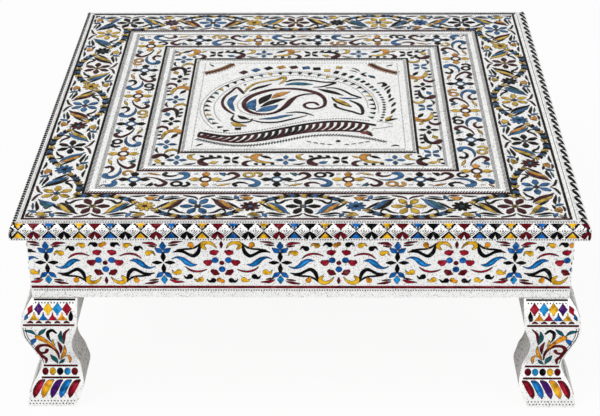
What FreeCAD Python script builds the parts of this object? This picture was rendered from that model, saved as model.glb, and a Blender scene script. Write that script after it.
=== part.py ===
import FreeCAD, Part
import os

from FreeCAD import Vector

# Square low table: a wooden board on four rails and four cabriole legs, all of it
# clad in thin embossed white metal sheets. Millimetres, +Z up, floor at zero, front at -Y.

# Overall size
table_width = 381.0
table_height = 145.0

# Wooden board and its rounded edge
board_thickness = 10.0
nose_radius = 5.0
overhang = 9.3

# Embossed sheet metal, measured over the relief
sheet_depth = 0.8
sheet_foot_gap = 0.5
sheet_joint_gap = 0.4
glue_film = 0.15

# Bands of embossed sheet on the top, from the edge to the centre panel
edge_flange = 9.3
outer_band = 37.2
middle_band = 33.6
inner_band = 26.3
cladding_shift = -2.4

# Apron rails
apron_height = 48.9
rail_thickness = 14.0
rail_lip = 9.0
tenon_thickness = 7.0
tenon_length = 12.0
tenon_shoulder = 8.0
wood_clearance = 0.15

# Legs
leg_section = 30.6
leg_swell = 8.8
post_size = 30.0

# Countersunk screws that hold the board down
screw_length = 32.0
screw_radius = 1.8
screw_head_radius = 3.8
screw_head_height = 2.4
screw_tip = 4.0
screw_from_post = 70.0

# Nails through the posts and tenons
nail_length = 24.0
nail_radius = 1.2
nail_head_radius = 2.6
nail_head_height = 1.2
nail_tip = 2.5
nail_level_share = 0.35

# Small pins that hold the folded edges of the sheets
pin_length = 7.0
pin_radius = 0.5
pin_head_radius = 1.2
pin_head_height = 0.4
pin_tip = 1.5
pin_from_end = 30.0
edge_pin_count = 5
apron_pin_count = 4
fastener_clearance = 0.05

# Leg profile: height as a share of the leg, then the reach of the outer and the inner
# face as shares of the swell. Both pairs of faces of a leg follow it.
leg_profile_shares = [
    (1.000, 0.00, 0.00),
    (0.947, 0.36, 0.00),
    (0.888, 0.69, 0.01),
    (0.828, 0.86, 0.04),
    (0.757, 0.94, 0.14),
    (0.651, 0.75, 0.53),
    (0.533, 0.35, 0.71),
    (0.414, -0.05, 0.48),
    (0.367, -0.16, 0.32),
    (0.296, -0.03, 0.18),
    (0.178, 0.60, 0.03),
    (0.059, 0.95, 0.50),
    (0.000, 1.00, 0.84),
]

# Sizes that follow from the ones above
half_width = table_width / 2
wood_half = half_width - sheet_depth
board_top = table_height - sheet_depth
board_bottom = board_top - board_thickness
lip_bottom = board_bottom - sheet_depth
apron_half = half_width - overhang
rail_half = apron_half - sheet_depth
apron_bottom = lip_bottom - apron_height
rail_bottom = apron_bottom + sheet_depth
rail_height = board_bottom - rail_bottom
post_inner = rail_half - post_size
leg_height = apron_bottom
leg_inner = apron_half - leg_section
rail_middle = rail_half - rail_thickness / 2
post_middle = rail_half - post_size / 2
lip_middle = (half_width + apron_half) / 2
rail_screw_spread = 2 * (post_inner - screw_from_post)
edge_pin_spread = 2 * (half_width - pin_from_end)
apron_pin_spread = 2 * (post_inner - pin_from_end)

SIDES = ("front", "right", "back", "left")
SIDE_ENDS = {
    "front": ((-1, -1), (1, -1)),
    "right": ((1, -1), (1, 1)),
    "back": ((1, 1), (-1, 1)),
    "left": ((-1, 1), (-1, -1)),
}
LEG_CORNERS = {
    "front_right": (1, -1),
    "front_left": (-1, -1),
    "back_right": (1, 1),
    "back_left": (-1, 1),
}


def save(shape, name):
    """Write one node of the table to its own file."""
    shape.exportStep(os.path.join("parts", name + ".step"))


def turned(shape, side):
    """Copy a piece that is made at the front to one of the four sides."""
    copy = shape.copy()
    quarter_turn = 90 * SIDES.index(side)
    copy.rotate(Vector(0, 0, 0), Vector(0, 0, 1), quarter_turn)
    return copy


def at_corner(shape, corner):
    """Copy a piece that is made at the front right corner to one of the four corners."""
    x_sign, y_sign = LEG_CORNERS[corner]
    copy = shape.copy()
    if x_sign < 0:
        copy = copy.mirror(Vector(0, 0, 0), Vector(1, 0, 0))
    if y_sign > 0:
        copy = copy.mirror(Vector(0, 0, 0), Vector(0, 1, 0))
    return copy


def block(low, high):
    """Box between two opposite corners."""
    size = [top - bottom for bottom, top in zip(low, high)]
    return Part.makeBox(size[0], size[1], size[2], Vector(*low))


def plan_prism(corners, low, high):
    """Upright prism over a plan outline."""
    points = [Vector(x, y, low) for x, y in corners]
    wire = Part.makePolygon(points + points[:1])
    return Part.Face(wire).extrude(Vector(0, 0, high - low))


def spaced(count, spread):
    """Places of a row of fasteners, centred on zero."""
    step = spread / (count - 1)
    return [index * step - spread / 2 for index in range(count)]


# Fasteners, each standing at the origin with its tip up the Z axis

def revolved(outline):
    """Turned piece from the half outline in the XZ plane."""
    points = [Vector(radius, 0, height) for radius, height in outline]
    wire = Part.makePolygon(points + points[:1])
    return Part.Face(wire).revolve(Vector(0, 0, 0), Vector(0, 0, 1), 360)


def nail_shape(length, radius, head_radius, head_height, tip, grow=0.0):
    """Round nail: its flat head starts at zero, and grow widens it for its hole."""
    outline = [
        (0, -grow),
        (head_radius + grow, -grow),
        (head_radius + grow, head_height + grow),
        (radius + grow, head_height + grow),
        (radius + grow, length - tip),
        (0, length + grow),
    ]
    return revolved(outline)


def screw_shape(grow=0.0):
    """Countersunk wood screw: its flat head starts at zero."""
    outline = [
        (0, -grow),
        (screw_head_radius + grow, -grow),
        (screw_radius + grow, screw_head_height + grow),
        (screw_radius + grow, screw_length - screw_tip),
        (0, screw_length + grow),
    ]
    return revolved(outline)


def placed(shape, place, direction):
    """Turn a fastener from the Z axis to a direction and move it to its place."""
    copy = shape.copy()
    rotation = FreeCAD.Rotation(Vector(0, 0, 1), direction)
    copy.Placement = FreeCAD.Placement(place, rotation)
    return copy


def board_screw_set(grow=0.0):
    """Screws down through the board into the posts and the rails."""
    down = Vector(0, 0, -1)
    screws = []
    for corner in LEG_CORNERS.values():
        place = Vector(corner[0] * post_middle, corner[1] * post_middle, board_top)
        screws.append(placed(screw_shape(grow), place, down))
    for side in SIDES:
        for x in spaced(2, rail_screw_spread):
            screw = placed(screw_shape(grow), Vector(x, -rail_middle, board_top), down)
            screws.append(turned(screw, side))
    return screws


def frame_nail_set(grow=0.0):
    """Nails through the outer faces of the posts, one across each tenon."""
    nail = nail_shape(nail_length, nail_radius, nail_head_radius, nail_head_height, nail_tip, grow)
    tenon_middle = post_inner + tenon_length / 2
    low_level = rail_bottom + rail_height * nail_level_share
    high_level = board_bottom - rail_height * nail_level_share
    nails = []
    for side in SIDES:
        level = low_level if side in ("front", "back") else high_level
        for x in (-tenon_middle, tenon_middle):
            front_nail = placed(nail, Vector(x, -rail_half, level), Vector(0, 1, 0))
            nails.append(turned(front_nail, side))
    return nails


def sheet_pin_set(grow=0.0):
    """Pins up through the folded lips under the board's edge and under the apron."""
    pin = nail_shape(pin_length, pin_radius, pin_head_radius, pin_head_height, pin_tip, grow)
    up = Vector(0, 0, 1)
    lip_place = apron_half - (sheet_depth + rail_lip) / 2
    pins = []
    for side in SIDES:
        for x in spaced(edge_pin_count, edge_pin_spread):
            place = Vector(x, -lip_middle, lip_bottom - pin_head_height)
            pins.append(turned(placed(pin, place, up), side))
        for x in spaced(apron_pin_count, apron_pin_spread):
            place = Vector(x, -lip_place, apron_bottom - pin_head_height)
            pins.append(turned(placed(pin, place, up), side))
    return pins


def drilled(shape, cutters):
    """Cut the fastener holes that cross a piece."""
    box = shape.BoundBox
    near = [cutter for cutter in cutters if cutter.BoundBox.intersect(box)]
    if not near:
        return shape
    return shape.cut(Part.makeCompound(near))


# Wooden pieces

def edge_outline(radius, reach, top, bottom):
    """Half outline of a slab across the table, with its upper edge rounded."""
    arc_middle = radius * (1 - 0.5 ** 0.5)
    right = [
        Part.makeLine(Vector(0, 0, top), Vector(reach - radius, 0, top)),
        Part.Arc(
            Vector(reach - radius, 0, top),
            Vector(reach - arc_middle, 0, top - arc_middle),
            Vector(reach, 0, top - radius),
        ).toShape(),
        Part.makeLine(Vector(reach, 0, top - radius), Vector(reach, 0, bottom)),
        Part.makeLine(Vector(reach, 0, bottom), Vector(0, 0, bottom)),
        Part.makeLine(Vector(0, 0, bottom), Vector(0, 0, top)),
    ]
    return Part.Face(Part.Wire(right))


def top_board():
    """Square board whose four upper edges are rounded to carry the edge strips."""
    half = edge_outline(nose_radius - sheet_depth, wood_half, board_top, board_bottom)
    slab = half.extrude(Vector(0, 2 * wood_half, 0))
    slab.translate(Vector(0, -wood_half, 0))
    other = slab.mirror(Vector(0, 0, 0), Vector(1, 0, 0))
    across = slab.fuse(other)
    along = across.copy()
    along.rotate(Vector(0, 0, 0), Vector(0, 0, 1), 90)
    return across.common(along).removeSplitter()


def tenon(end, clearance):
    """Stub tenon at one end of the front rail, or its mortise when clearance is given."""
    inner = end * (post_inner - clearance)
    outer = end * (post_inner + tenon_length + clearance)
    low = (
        min(inner, outer),
        -rail_middle - tenon_thickness / 2 - clearance,
        rail_bottom + tenon_shoulder - clearance,
    )
    high = (
        max(inner, outer),
        -rail_middle + tenon_thickness / 2 + clearance,
        board_bottom - tenon_shoulder + clearance,
    )
    return block(low, high)


def apron_rail():
    """Front rail: it stands between two posts and its tenons enter them."""
    body = block(
        (-post_inner, -rail_half, rail_bottom),
        (post_inner, -rail_half + rail_thickness, board_bottom),
    )
    return body.fuse([tenon(1, 0), tenon(-1, 0)]).removeSplitter()


# Legs, made at the front right corner

def leg_lines():
    """Reach of each face of the leg's wood and of its sheets, at each height of the profile."""
    outside = [apron_half + outer * leg_swell for height, outer, inner in leg_profile_shares]
    inside = [leg_inner + inner * leg_swell for height, outer, inner in leg_profile_shares]
    return {
        "outside": outside,
        "outside_back": [reach - sheet_depth for reach in outside],
        "outer_wood": [reach - sheet_depth - glue_film for reach in outside],
        "inner_wood": [reach + sheet_depth + glue_film for reach in inside],
        "inside_back": [reach + sheet_depth for reach in inside],
        "inside": inside,
    }


def corner_curve(x_line, y_line, low, high):
    """One edge of a curved bar, smooth through its points, between two heights."""
    heights = [height * leg_height for height, outer, inner in leg_profile_shares]
    rows = sorted(zip(heights, x_line, y_line))
    points = [Vector(x, -y, height) for height, x, y in rows]
    curve = Part.BSplineCurve()
    curve.interpolate(Points=points, Parameters=[row[0] for row in rows])
    return curve.toShape(low, high)


def curved_bar(x_inner, x_outer, y_inner, y_outer, low, high):
    """Upright bar of square section whose four edges follow the leg's profile."""
    edges = [
        corner_curve(x_inner, y_inner, low, high),
        corner_curve(x_outer, y_inner, low, high),
        corner_curve(x_outer, y_outer, low, high),
        corner_curve(x_inner, y_outer, low, high),
    ]
    following = edges[1:] + edges[:1]
    faces = [Part.makeRuledSurface(edge, other) for edge, other in zip(edges, following)]
    for end in (low, high):
        corners = [edge.valueAt(end) for edge in edges]
        faces.append(Part.Face(Part.makePolygon(corners + corners[:1])))
    shell = Part.makeShell(faces)
    shell.sewShape()
    return Part.makeSolid(shell)


def leg_wood():
    """Cabriole leg with the square post that stands inside the apron's corner."""
    lines = leg_lines()
    inner = lines["inner_wood"]
    outer = lines["outer_wood"]
    cabriole = curved_bar(inner, outer, inner, outer, 0, leg_height)
    post = block(
        (post_inner, -rail_half, leg_height),
        (rail_half, -post_inner, board_bottom),
    )
    front_mortise = tenon(1, wood_clearance)
    side_mortise = turned(tenon(-1, wood_clearance), "right")
    return cabriole.fuse(post.cut([front_mortise, side_mortise]))


def leg_sheets():
    """The four sheets round one leg. The face sheets cover the edges of the side sheets."""
    lines = leg_lines()
    outside, outside_back = lines["outside"], lines["outside_back"]
    inside, inside_back = lines["inside"], lines["inside_back"]
    wood = (lines["inner_wood"], lines["outer_wood"])
    ends = (sheet_foot_gap, leg_height - sheet_joint_gap)
    return {
        "face_sheet": curved_bar(inside, outside, outside_back, outside, *ends),
        "inner_face_sheet": curved_bar(inside, outside, inside, inside_back, *ends),
        "side_sheet": curved_bar(outside_back, outside, *wood, *ends),
        "inner_side_sheet": curved_bar(inside, inside_back, *wood, *ends),
    }


# Sheets of the top, the edge and the apron

def ring_reaches(inset):
    """How far each side of a pattern line lies from the middle of the table."""
    reach = half_width - inset
    return {
        "front": reach,
        "right": reach + cladding_shift,
        "back": reach,
        "left": reach - cladding_shift,
    }


def ring_ends(side, inset):
    """The two corners where one side of a pattern line starts and ends."""
    reach = ring_reaches(inset)
    corners = []
    for x_sign, y_sign in SIDE_ENDS[side]:
        x = reach["right"] if x_sign > 0 else -reach["left"]
        y = reach["back"] if y_sign > 0 else -reach["front"]
        corners.append((x, y))
    return corners


def band_sheet(side, outer_inset, inner_inset):
    """One mitred strip of a band on the top."""
    start, end = ring_ends(side, outer_inset)
    inner_start, inner_end = ring_ends(side, inner_inset)
    corners = [start, end, inner_end, inner_start]
    return plan_prism(corners, board_top, table_height)


def centre_sheet():
    """Square panel in the middle of the top."""
    inset = edge_flange + outer_band + middle_band + inner_band
    corners = [ring_ends(side, inset)[0] for side in SIDES]
    return plan_prism(corners, board_top, table_height)


def edge_section(flange_end):
    """Section of an edge strip: flange, rounded nose, upright and lip under the board."""
    inner_radius = nose_radius - sheet_depth
    outer_bend = nose_radius * (1 - 0.5 ** 0.5)
    inner_bend = sheet_depth + inner_radius * (1 - 0.5 ** 0.5)
    bend_end = half_width - nose_radius
    edges = [
        Part.makeLine(Vector(flange_end, 0, table_height), Vector(bend_end, 0, table_height)),
        Part.Arc(
            Vector(bend_end, 0, table_height),
            Vector(half_width - outer_bend, 0, table_height - outer_bend),
            Vector(half_width, 0, table_height - nose_radius),
        ).toShape(),
        Part.makePolygon([
            Vector(half_width, 0, table_height - nose_radius),
            Vector(half_width, 0, lip_bottom),
            Vector(rail_half, 0, lip_bottom),
            Vector(rail_half, 0, board_bottom),
            Vector(wood_half, 0, board_bottom),
            Vector(wood_half, 0, table_height - nose_radius),
        ]),
        Part.Arc(
            Vector(wood_half, 0, table_height - nose_radius),
            Vector(half_width - inner_bend, 0, table_height - inner_bend),
            Vector(bend_end, 0, board_top),
        ).toShape(),
        Part.makePolygon([
            Vector(bend_end, 0, board_top),
            Vector(flange_end, 0, board_top),
            Vector(flange_end, 0, table_height),
        ]),
    ]
    loose = [edge for piece in edges for edge in piece.Edges]
    return Part.Face(Part.Wire(Part.__sortEdges__(loose)))


def edge_strip(side):
    """Strip bent over the board's edge, mitred at both corners."""
    strip = edge_section(ring_reaches(edge_flange)[side]).extrude(Vector(0, table_width, 0))
    strip.translate(Vector(0, -half_width, 0))
    strip.rotate(Vector(0, 0, 0), Vector(0, 0, 1), 90 * SIDES.index(side) - 90)
    first, second = SIDE_ENDS[side]
    first_corner = (first[0] * half_width, first[1] * half_width)
    second_corner = (second[0] * half_width, second[1] * half_width)
    start, end = ring_ends(side, edge_flange)
    bend_end = half_width - nose_radius
    mitre_above = [
        first_corner,
        second_corner,
        (second[0] * bend_end, second[1] * bend_end),
        end,
        start,
        (first[0] * bend_end, first[1] * bend_end),
    ]
    mitre_below = [first_corner, second_corner, (0, 0)]
    parting = table_height - nose_radius
    above = strip.common(plan_prism(mitre_above, parting, table_height))
    below = strip.common(plan_prism(mitre_below, lip_bottom, parting))
    return above.fuse(below).removeSplitter()


def apron_sheet(side):
    """Upright sheet over one rail and its two posts, folded under the rail's lower edge."""
    reach = apron_half
    if side in ("right", "left"):
        reach = rail_half
    upright = block((-reach, -apron_half, apron_bottom), (reach, -rail_half, lip_bottom))
    lip = block(
        (-post_inner, -rail_half, apron_bottom),
        (post_inner, -rail_half + rail_lip, rail_bottom),
    )
    return turned(upright.fuse(lip).removeSplitter(), side)


def build():
    """Make every node of the table and write it."""
    screw_holes = board_screw_set(fastener_clearance)
    nail_holes = frame_nail_set(fastener_clearance)
    pin_holes = sheet_pin_set(fastener_clearance)
    all_holes = screw_holes + nail_holes + pin_holes

    save(drilled(top_board(), all_holes), "top_board")
    for side in SIDES:
        save(drilled(turned(apron_rail(), side), all_holes), "apron_rail_" + side)
        save(drilled(apron_sheet(side), pin_holes), "apron_sheet_" + side)
        save(drilled(edge_strip(side), pin_holes), "edge_strip_" + side)

    outer_start = edge_flange
    middle_start = outer_start + outer_band
    inner_start = middle_start + middle_band
    centre_start = inner_start + inner_band
    bands = {
        "outer_band_sheet_": (outer_start, middle_start),
        "middle_band_sheet_": (middle_start, inner_start),
        "inner_band_sheet_": (inner_start, centre_start),
    }
    for name, (outer_inset, inner_inset) in bands.items():
        for side in SIDES:
            save(band_sheet(side, outer_inset, inner_inset), name + side)
    save(centre_sheet(), "centre_panel_sheet")

    wood = leg_wood()
    sheets = leg_sheets()
    for corner in LEG_CORNERS:
        leg_name = "leg_" + corner
        save(drilled(at_corner(wood, corner), screw_holes + nail_holes), leg_name)
        for sheet_name, sheet in sheets.items():
            save(at_corner(sheet, corner), leg_name + "_" + sheet_name)

    save(Part.makeCompound(board_screw_set()), "board_screws")
    save(Part.makeCompound(frame_nail_set()), "frame_nails")
    save(Part.makeCompound(sheet_pin_set()), "sheet_pins")


os.makedirs("parts", exist_ok=True)
build()
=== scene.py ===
import math

import bmesh
import bpy
import numpy as np
from mathutils import Matrix, Vector
from mathutils.bvhtree import BVHTree


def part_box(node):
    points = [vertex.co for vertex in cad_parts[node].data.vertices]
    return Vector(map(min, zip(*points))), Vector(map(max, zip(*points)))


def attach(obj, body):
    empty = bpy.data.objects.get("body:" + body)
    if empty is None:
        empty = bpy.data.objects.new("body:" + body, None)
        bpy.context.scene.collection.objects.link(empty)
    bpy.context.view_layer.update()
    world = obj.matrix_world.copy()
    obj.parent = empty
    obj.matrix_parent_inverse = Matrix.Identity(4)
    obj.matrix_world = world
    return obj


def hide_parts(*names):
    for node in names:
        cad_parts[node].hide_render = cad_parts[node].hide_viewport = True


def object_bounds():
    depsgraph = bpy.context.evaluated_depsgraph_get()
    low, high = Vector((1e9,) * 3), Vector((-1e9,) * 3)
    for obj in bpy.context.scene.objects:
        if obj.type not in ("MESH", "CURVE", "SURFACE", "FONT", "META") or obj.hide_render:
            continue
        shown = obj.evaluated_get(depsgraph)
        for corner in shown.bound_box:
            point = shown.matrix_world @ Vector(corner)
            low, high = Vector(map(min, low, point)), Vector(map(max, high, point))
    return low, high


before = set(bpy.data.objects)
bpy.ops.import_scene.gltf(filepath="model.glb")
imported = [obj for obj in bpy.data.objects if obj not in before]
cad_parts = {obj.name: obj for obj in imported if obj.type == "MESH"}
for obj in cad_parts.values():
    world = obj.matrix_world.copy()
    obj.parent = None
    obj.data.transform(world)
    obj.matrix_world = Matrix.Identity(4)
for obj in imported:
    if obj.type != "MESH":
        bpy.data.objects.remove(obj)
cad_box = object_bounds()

bl_info = {
    "name": "Bajot low table",
    "version": (1, 0, 0),
    "blender": (4, 5, 0),
    "location": "View3D > Sidebar > Low table",
    "description": "Embossed white metal cladding with enamelled relief for a square low table",
    "category": "Add Mesh",
}

# The frame is in metres. Patterns are drawn in millimetres: u along a strip, t inwards
# from its outer edge, and the height of the relief off its ground.
MM = 0.001
SIDES = ("front", "right", "back", "left")
LEG_SIGNS = {"front_right": (1, -1), "front_left": (-1, -1), "back_right": (1, 1), "back_left": (-1, 1)}

# A form keeps at least this share of its width inside the rim
LEAST_SHARE = 0.4
# The least width of a smooth line
LEAST_WIDTH = 0.15
# How much higher than its form a streak of another colour stands
STREAK_RISE = 1.1
# How much wider the dark rims, partly painted shade, are on the top
TOP_RIM_WIDENING = 1.5
# How far a square end reaches out, where the form is wide enough
SQUARE_REACH = 0.3
# Ends that bulge by more than this share of a half circle, on forms wider than this, get
# extra rows at these shares of their reach
BULGE_WITH_ROWS = 0.5
WIDTH_WITH_ROWS = 0.9
ROW_SHARES = (0.5, 0.87)
# The width from which a form has its full height, and how the height grows up to it
FULL_WIDTH = 1.5
HEIGHT_POWER = 0.6

# Duller, greyer copies of the enamel colours, used on the top: painted glare, standing in for the reflection
# that greys the enamel on the level top
GLARE_DULLED_COLOURS = {
    "maroon": (0.065, 0.018, 0.019),
    "crimson": (0.19, 0.05, 0.035),
    "blue": (0.043, 0.128, 0.27),
    "azure": (0.04, 0.145, 0.22),
    "teal": (0.026, 0.10, 0.125),
    "black": (0.013, 0.010, 0.008),
    "yellow": (0.53, 0.345, 0.06),
    "orange": (0.50, 0.235, 0.05),
    "purple": (0.055, 0.03, 0.06),
}
# Dark tones mixed into the metal as painted shade: on the legs' inner faces, and on their sides and the bare
# forms there
INNER_SHADE_TONE = (0.10, 0.095, 0.07)
SHADE_TONE = (0.10, 0.085, 0.055)
# Each metal finish: how far its tone is mixed with a darker one as painted shade, and what its surface is
# like
METALS = {
    "stippled_metal": {"specks": 0.85},
    "smooth_metal": {"specks": 0.7},
    "bright_metal": {},
    "plain_metal": {"mixed": SHADE_TONE, "share": 0.36, "metallic": 0.3, "roughness": 0.4},
    "shaded_metal": {
        "mixed": SHADE_TONE, "share": 0.62, "speck_share": 0.5, "specks": 0.45, "fineness": 620,
        "metallic": 0.2, "roughness": 0.55,
    },
    "dull_metal": {
        "mixed": INNER_SHADE_TONE, "share": 0.4, "speck_share": 0.2, "specks": 0.75, "fineness": 380,
        "metallic": 0.15, "roughness": 0.6, "patchy": (0.25, 0.5),
    },
}

# Sections across a raised form, from its right foot to its left one: place as a share
# of the half width, and height as a share of the full height
ENAMEL_SECTION = ((-1, 0), (-0.97, 0.6), (-0.6, 0.92), (0, 1), (0.6, 0.92), (0.97, 0.6), (1, 0))
RIM_SECTION = ((-1, 0), (-0.9, 1), (0.9, 1), (1, 0))
STRAND_SECTION = ((-1, 0), (-0.7, 0.7), (0, 1), (0.7, 0.7), (1, 0))


# Sizes and finishes that a user can change

def length(name, default, description):
    """A length property in metres."""
    return bpy.props.FloatProperty(
        name=name, description=description, default=default, unit="LENGTH", subtype="DISTANCE",
    )


def colour(name, *default):
    """A colour property."""
    return bpy.props.FloatVectorProperty(
        name=name, description="Colour of the " + name.lower(), default=default, min=0, max=1, size=3,
        subtype="COLOR",
    )


class TableReliefSizes(bpy.types.PropertyGroup):
    """Sizes of the relief."""
    enamel_height: length("Enamel height", 0.00042, "How far the enamel stands off the ground")
    rim_height: length("Rim height", 0.0001, "Height of the dark rim round each enamelled form")
    rim_width: length("Rim width", 0.00025, "How far the rim shows outside the enamel")
    enamel_spread: length("Enamel spread", 0.00018, "How far the enamel runs out past its drawn edge")
    ground_depth: length("Ground depth", 0.0005, "How far the ground lies below the sheet's face")
    foot_depth: length("Foot depth", 0.00012, "How far each raised form is sunk in the ground")
    line_width: length("Line width", 0.0019, "Width of the painted border lines")
    rope_pitch: length("Rope pitch", 0.0020, "Spacing of the slanted strands of the rope borders")
    bead_pitch: length("Bead pitch", 0.0017, "Spacing of the beads on the edge strips and aprons")
    bead_radius: length("Bead radius", 0.0006, "Radius of the beads")
    flute_height: length("Flute height", 0.00035, "Height of the plain flutes inside each border")


class TableFinishes(bpy.types.PropertyGroup):
    """Colours of the table and of its stage."""
    maroon: colour("Maroon enamel", 0.13, 0.006, 0.012)
    crimson: colour("Crimson enamel", 0.33, 0.010, 0.028)
    blue: colour("Blue enamel", 0.009, 0.115, 0.41)
    azure: colour("Azure enamel", 0.014, 0.265, 0.61)
    teal: colour("Teal enamel", 0.008, 0.10, 0.13)
    black: colour("Black enamel", 0.003, 0.003, 0.004)
    yellow: colour("Yellow enamel", 0.86, 0.45, 0.018)
    orange: colour("Orange enamel", 0.76, 0.29, 0.014)
    purple: colour("Purple enamel", 0.06, 0.010, 0.13)
    metal: colour("White metal sheet", 0.95, 0.95, 0.94)
    speck: colour("Specks in the ground", 0.08, 0.08, 0.075)
    wood: colour("Wood of the carcass", 0.40, 0.24, 0.12)
    steel: colour("Steel fasteners", 0.55, 0.55, 0.56)
    floor: colour("Floor", 0.86, 0.86, 0.86)


# Materials

def fill(tree, node, inputs):
    """Set a node's inputs to values, or link them where a socket is given."""
    for name, value in inputs.items():
        if isinstance(value, bpy.types.NodeSocket):
            tree.links.new(value, node.inputs[name])
        else:
            node.inputs[name].default_value = value
    return node


def add_node(tree, kind, inputs, **settings):
    """Add a node with its settings and inputs."""
    node = tree.nodes.new("ShaderNode" + kind)
    for name, value in settings.items():
        setattr(node, name, value)
    return fill(tree, node, inputs)


def new_material(name, scale=(1, 1, 1)):
    """A material with its main shader, and the place on the object in its own axes, scaled."""
    material = bpy.data.materials.new(name)
    material.use_nodes = True
    tree = material.node_tree
    tree.nodes.clear()
    shader = add_node(tree, "BsdfPrincipled", {})
    add_node(tree, "OutputMaterial", {"Surface": shader.outputs["BSDF"]})
    place = add_node(tree, "TexCoord", {}).outputs["Object"]
    place = add_node(tree, "Mapping", {"Vector": place, "Scale": scale}).outputs["Vector"]
    return material, tree, shader, place


def noise(tree, place, scale, detail=3.0, roughness=0.55):
    """Noise over the object."""
    inputs = {"Vector": place, "Scale": scale, "Detail": detail, "Roughness": roughness}
    return add_node(tree, "TexNoise", inputs).outputs["Fac"]


def ramp(tree, value, stops):
    """Colours along a value, from (place, colour) stops."""
    made = add_node(tree, "ValToRGB", {"Fac": value})
    elements = made.color_ramp.elements
    while len(elements) < len(stops):
        elements.new(0.5)
    for element, (place, tone) in zip(elements, stops):
        element.position = place
        element.color = (*tone, 1.0)
    return made.outputs["Color"]


def spread(tree, value, low_in, high_in, low_out, high_out):
    """Map one range of a value on another."""
    inputs = {"Value": value, "From Min": low_in, "From Max": high_in, "To Min": low_out, "To Max": high_out}
    return add_node(tree, "MapRange", inputs).outputs["Result"]


def combined(tree, operation, first, second):
    """Two values combined into one."""
    return add_node(tree, "Math", {0: first, 1: second}, operation=operation).outputs[0]


def bumped(tree, height, strength, distance):
    """A normal tilted by a height."""
    inputs = {"Height": height, "Strength": strength, "Distance": distance}
    return add_node(tree, "Bump", inputs).outputs["Normal"]


def tinted(tone, share):
    """A tone made lighter, or darker where the share is below one."""
    return tuple(min(1.0, part * share) for part in tone)


def blended(tone, other, share):
    """A tone mixed with a share of another one."""
    return tuple(a * (1 - share) + b * share for a, b in zip(tone, other))


def metal_material(
    name, tone, speck_tone, specks=0.0, fineness=820, metallic=0.62, roughness=0.24, patchy=(0.38, 0.6),
):
    """White metal sheet. Its ground is punched with small dull specks where specks is above zero."""
    material, tree, shader, place = new_material(name)
    base = ramp(tree, noise(tree, place, 60), [(0.3, blended(tone, speck_tone, 0.05)), (0.6, tone)])
    rough = noise(tree, place, 240)
    height = rough
    if specks:
        inputs = {"Vector": place, "Scale": fineness, "Randomness": 0.85}
        cells = add_node(tree, "TexVoronoi", inputs).outputs["Distance"]
        height = spread(tree, cells, 0.16, 0.42, 0, 1)
        strength = spread(tree, noise(tree, place, 420, 2), *patchy, 0.0, specks)
        dark = combined(tree, "MULTIPLY", combined(tree, "SUBTRACT", 1.0, height), strength)
        inputs = {"Factor": dark, "A": base, "B": (*speck_tone, 1.0)}
        base = add_node(tree, "Mix", inputs, data_type="RGBA").outputs["Result"]
    fill(tree, shader, {
        "Base Color": base,
        "Metallic": metallic,
        "Specular IOR Level": metallic * 0.8,
        "Roughness": spread(tree, rough, 0.3, 0.7, roughness, roughness + 0.18),
        "Normal": bumped(tree, height, 0.8, 0.00016),
    })
    return material


def enamel_material(name, tone):
    """Gloss enamel that pools unevenly: darker in places, and lighter where it is thin."""
    material, tree, shader, place = new_material(name)
    pale = blended(tinted(tone, 1.3), (0.9, 0.9, 0.9), 0.08)
    stops = [(0.34, tinted(tone, 0.35)), (0.46, tinted(tone, 0.85)), (0.58, tinted(tone, 1.3)), (0.76, pale)]
    fill(tree, shader, {
        "Base Color": ramp(tree, noise(tree, place, 210, 4, 0.6), stops),
        "Roughness": 0.3,
        "Specular IOR Level": 0.015,
        "Coat Weight": 0.01,
        "Coat Roughness": 0.1,
        "Normal": bumped(tree, noise(tree, place, 700, 2), 0.35, 0.00012),
    })
    return material


def wood_material(name, tone):
    """Bare hardwood with its grain along the X axis."""
    material, tree, shader, place = new_material(name, (3, 42, 42))
    grain = noise(tree, place, 5, 6, 0.65)
    stops = [(0.3, tinted(tone, 0.6)), (0.5, tone), (0.75, tinted(tone, 1.3))]
    normal = bumped(tree, grain, 0.4, 0.0002)
    fill(tree, shader, {"Base Color": ramp(tree, grain, stops), "Roughness": 0.7, "Normal": normal})
    return material


def steel_material(name, tone):
    """Plain plated steel."""
    material, tree, shader, place = new_material(name)
    wear = ramp(tree, noise(tree, place, 500), [(0.3, tinted(tone, 0.7)), (0.7, tone)])
    fill(tree, shader, {"Base Color": wear, "Metallic": 1.0, "Roughness": 0.35})
    return material


def floor_material(name, tone):
    """Pale floor that shows white to the camera and in reflections, and keeps a soft shadow."""
    material, tree, shader, place = new_material(name)
    dust = ramp(tree, noise(tree, place, 12), [(0.3, tinted(tone, 0.98)), (0.7, tone)])
    fill(tree, shader, {"Base Color": dust, "Roughness": 0.9, "Specular IOR Level": 0.1})
    rays = add_node(tree, "LightPath", {}).outputs
    seen = combined(tree, "MAXIMUM", rays["Is Camera Ray"], rays["Is Glossy Ray"])
    white = add_node(tree, "Emission", {"Color": (1, 1, 1, 1), "Strength": 1.0}).outputs["Emission"]
    bare = shader.outputs["BSDF"]
    shown = add_node(tree, "MixShader", {"Fac": 0.93, 1: bare, 2: white}).outputs["Shader"]
    choice = add_node(tree, "MixShader", {"Fac": seen, 1: bare, 2: shown}).outputs["Shader"]
    output = next(node for node in tree.nodes if node.type == "OUTPUT_MATERIAL")
    tree.links.new(choice, output.inputs["Surface"])
    return material


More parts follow.
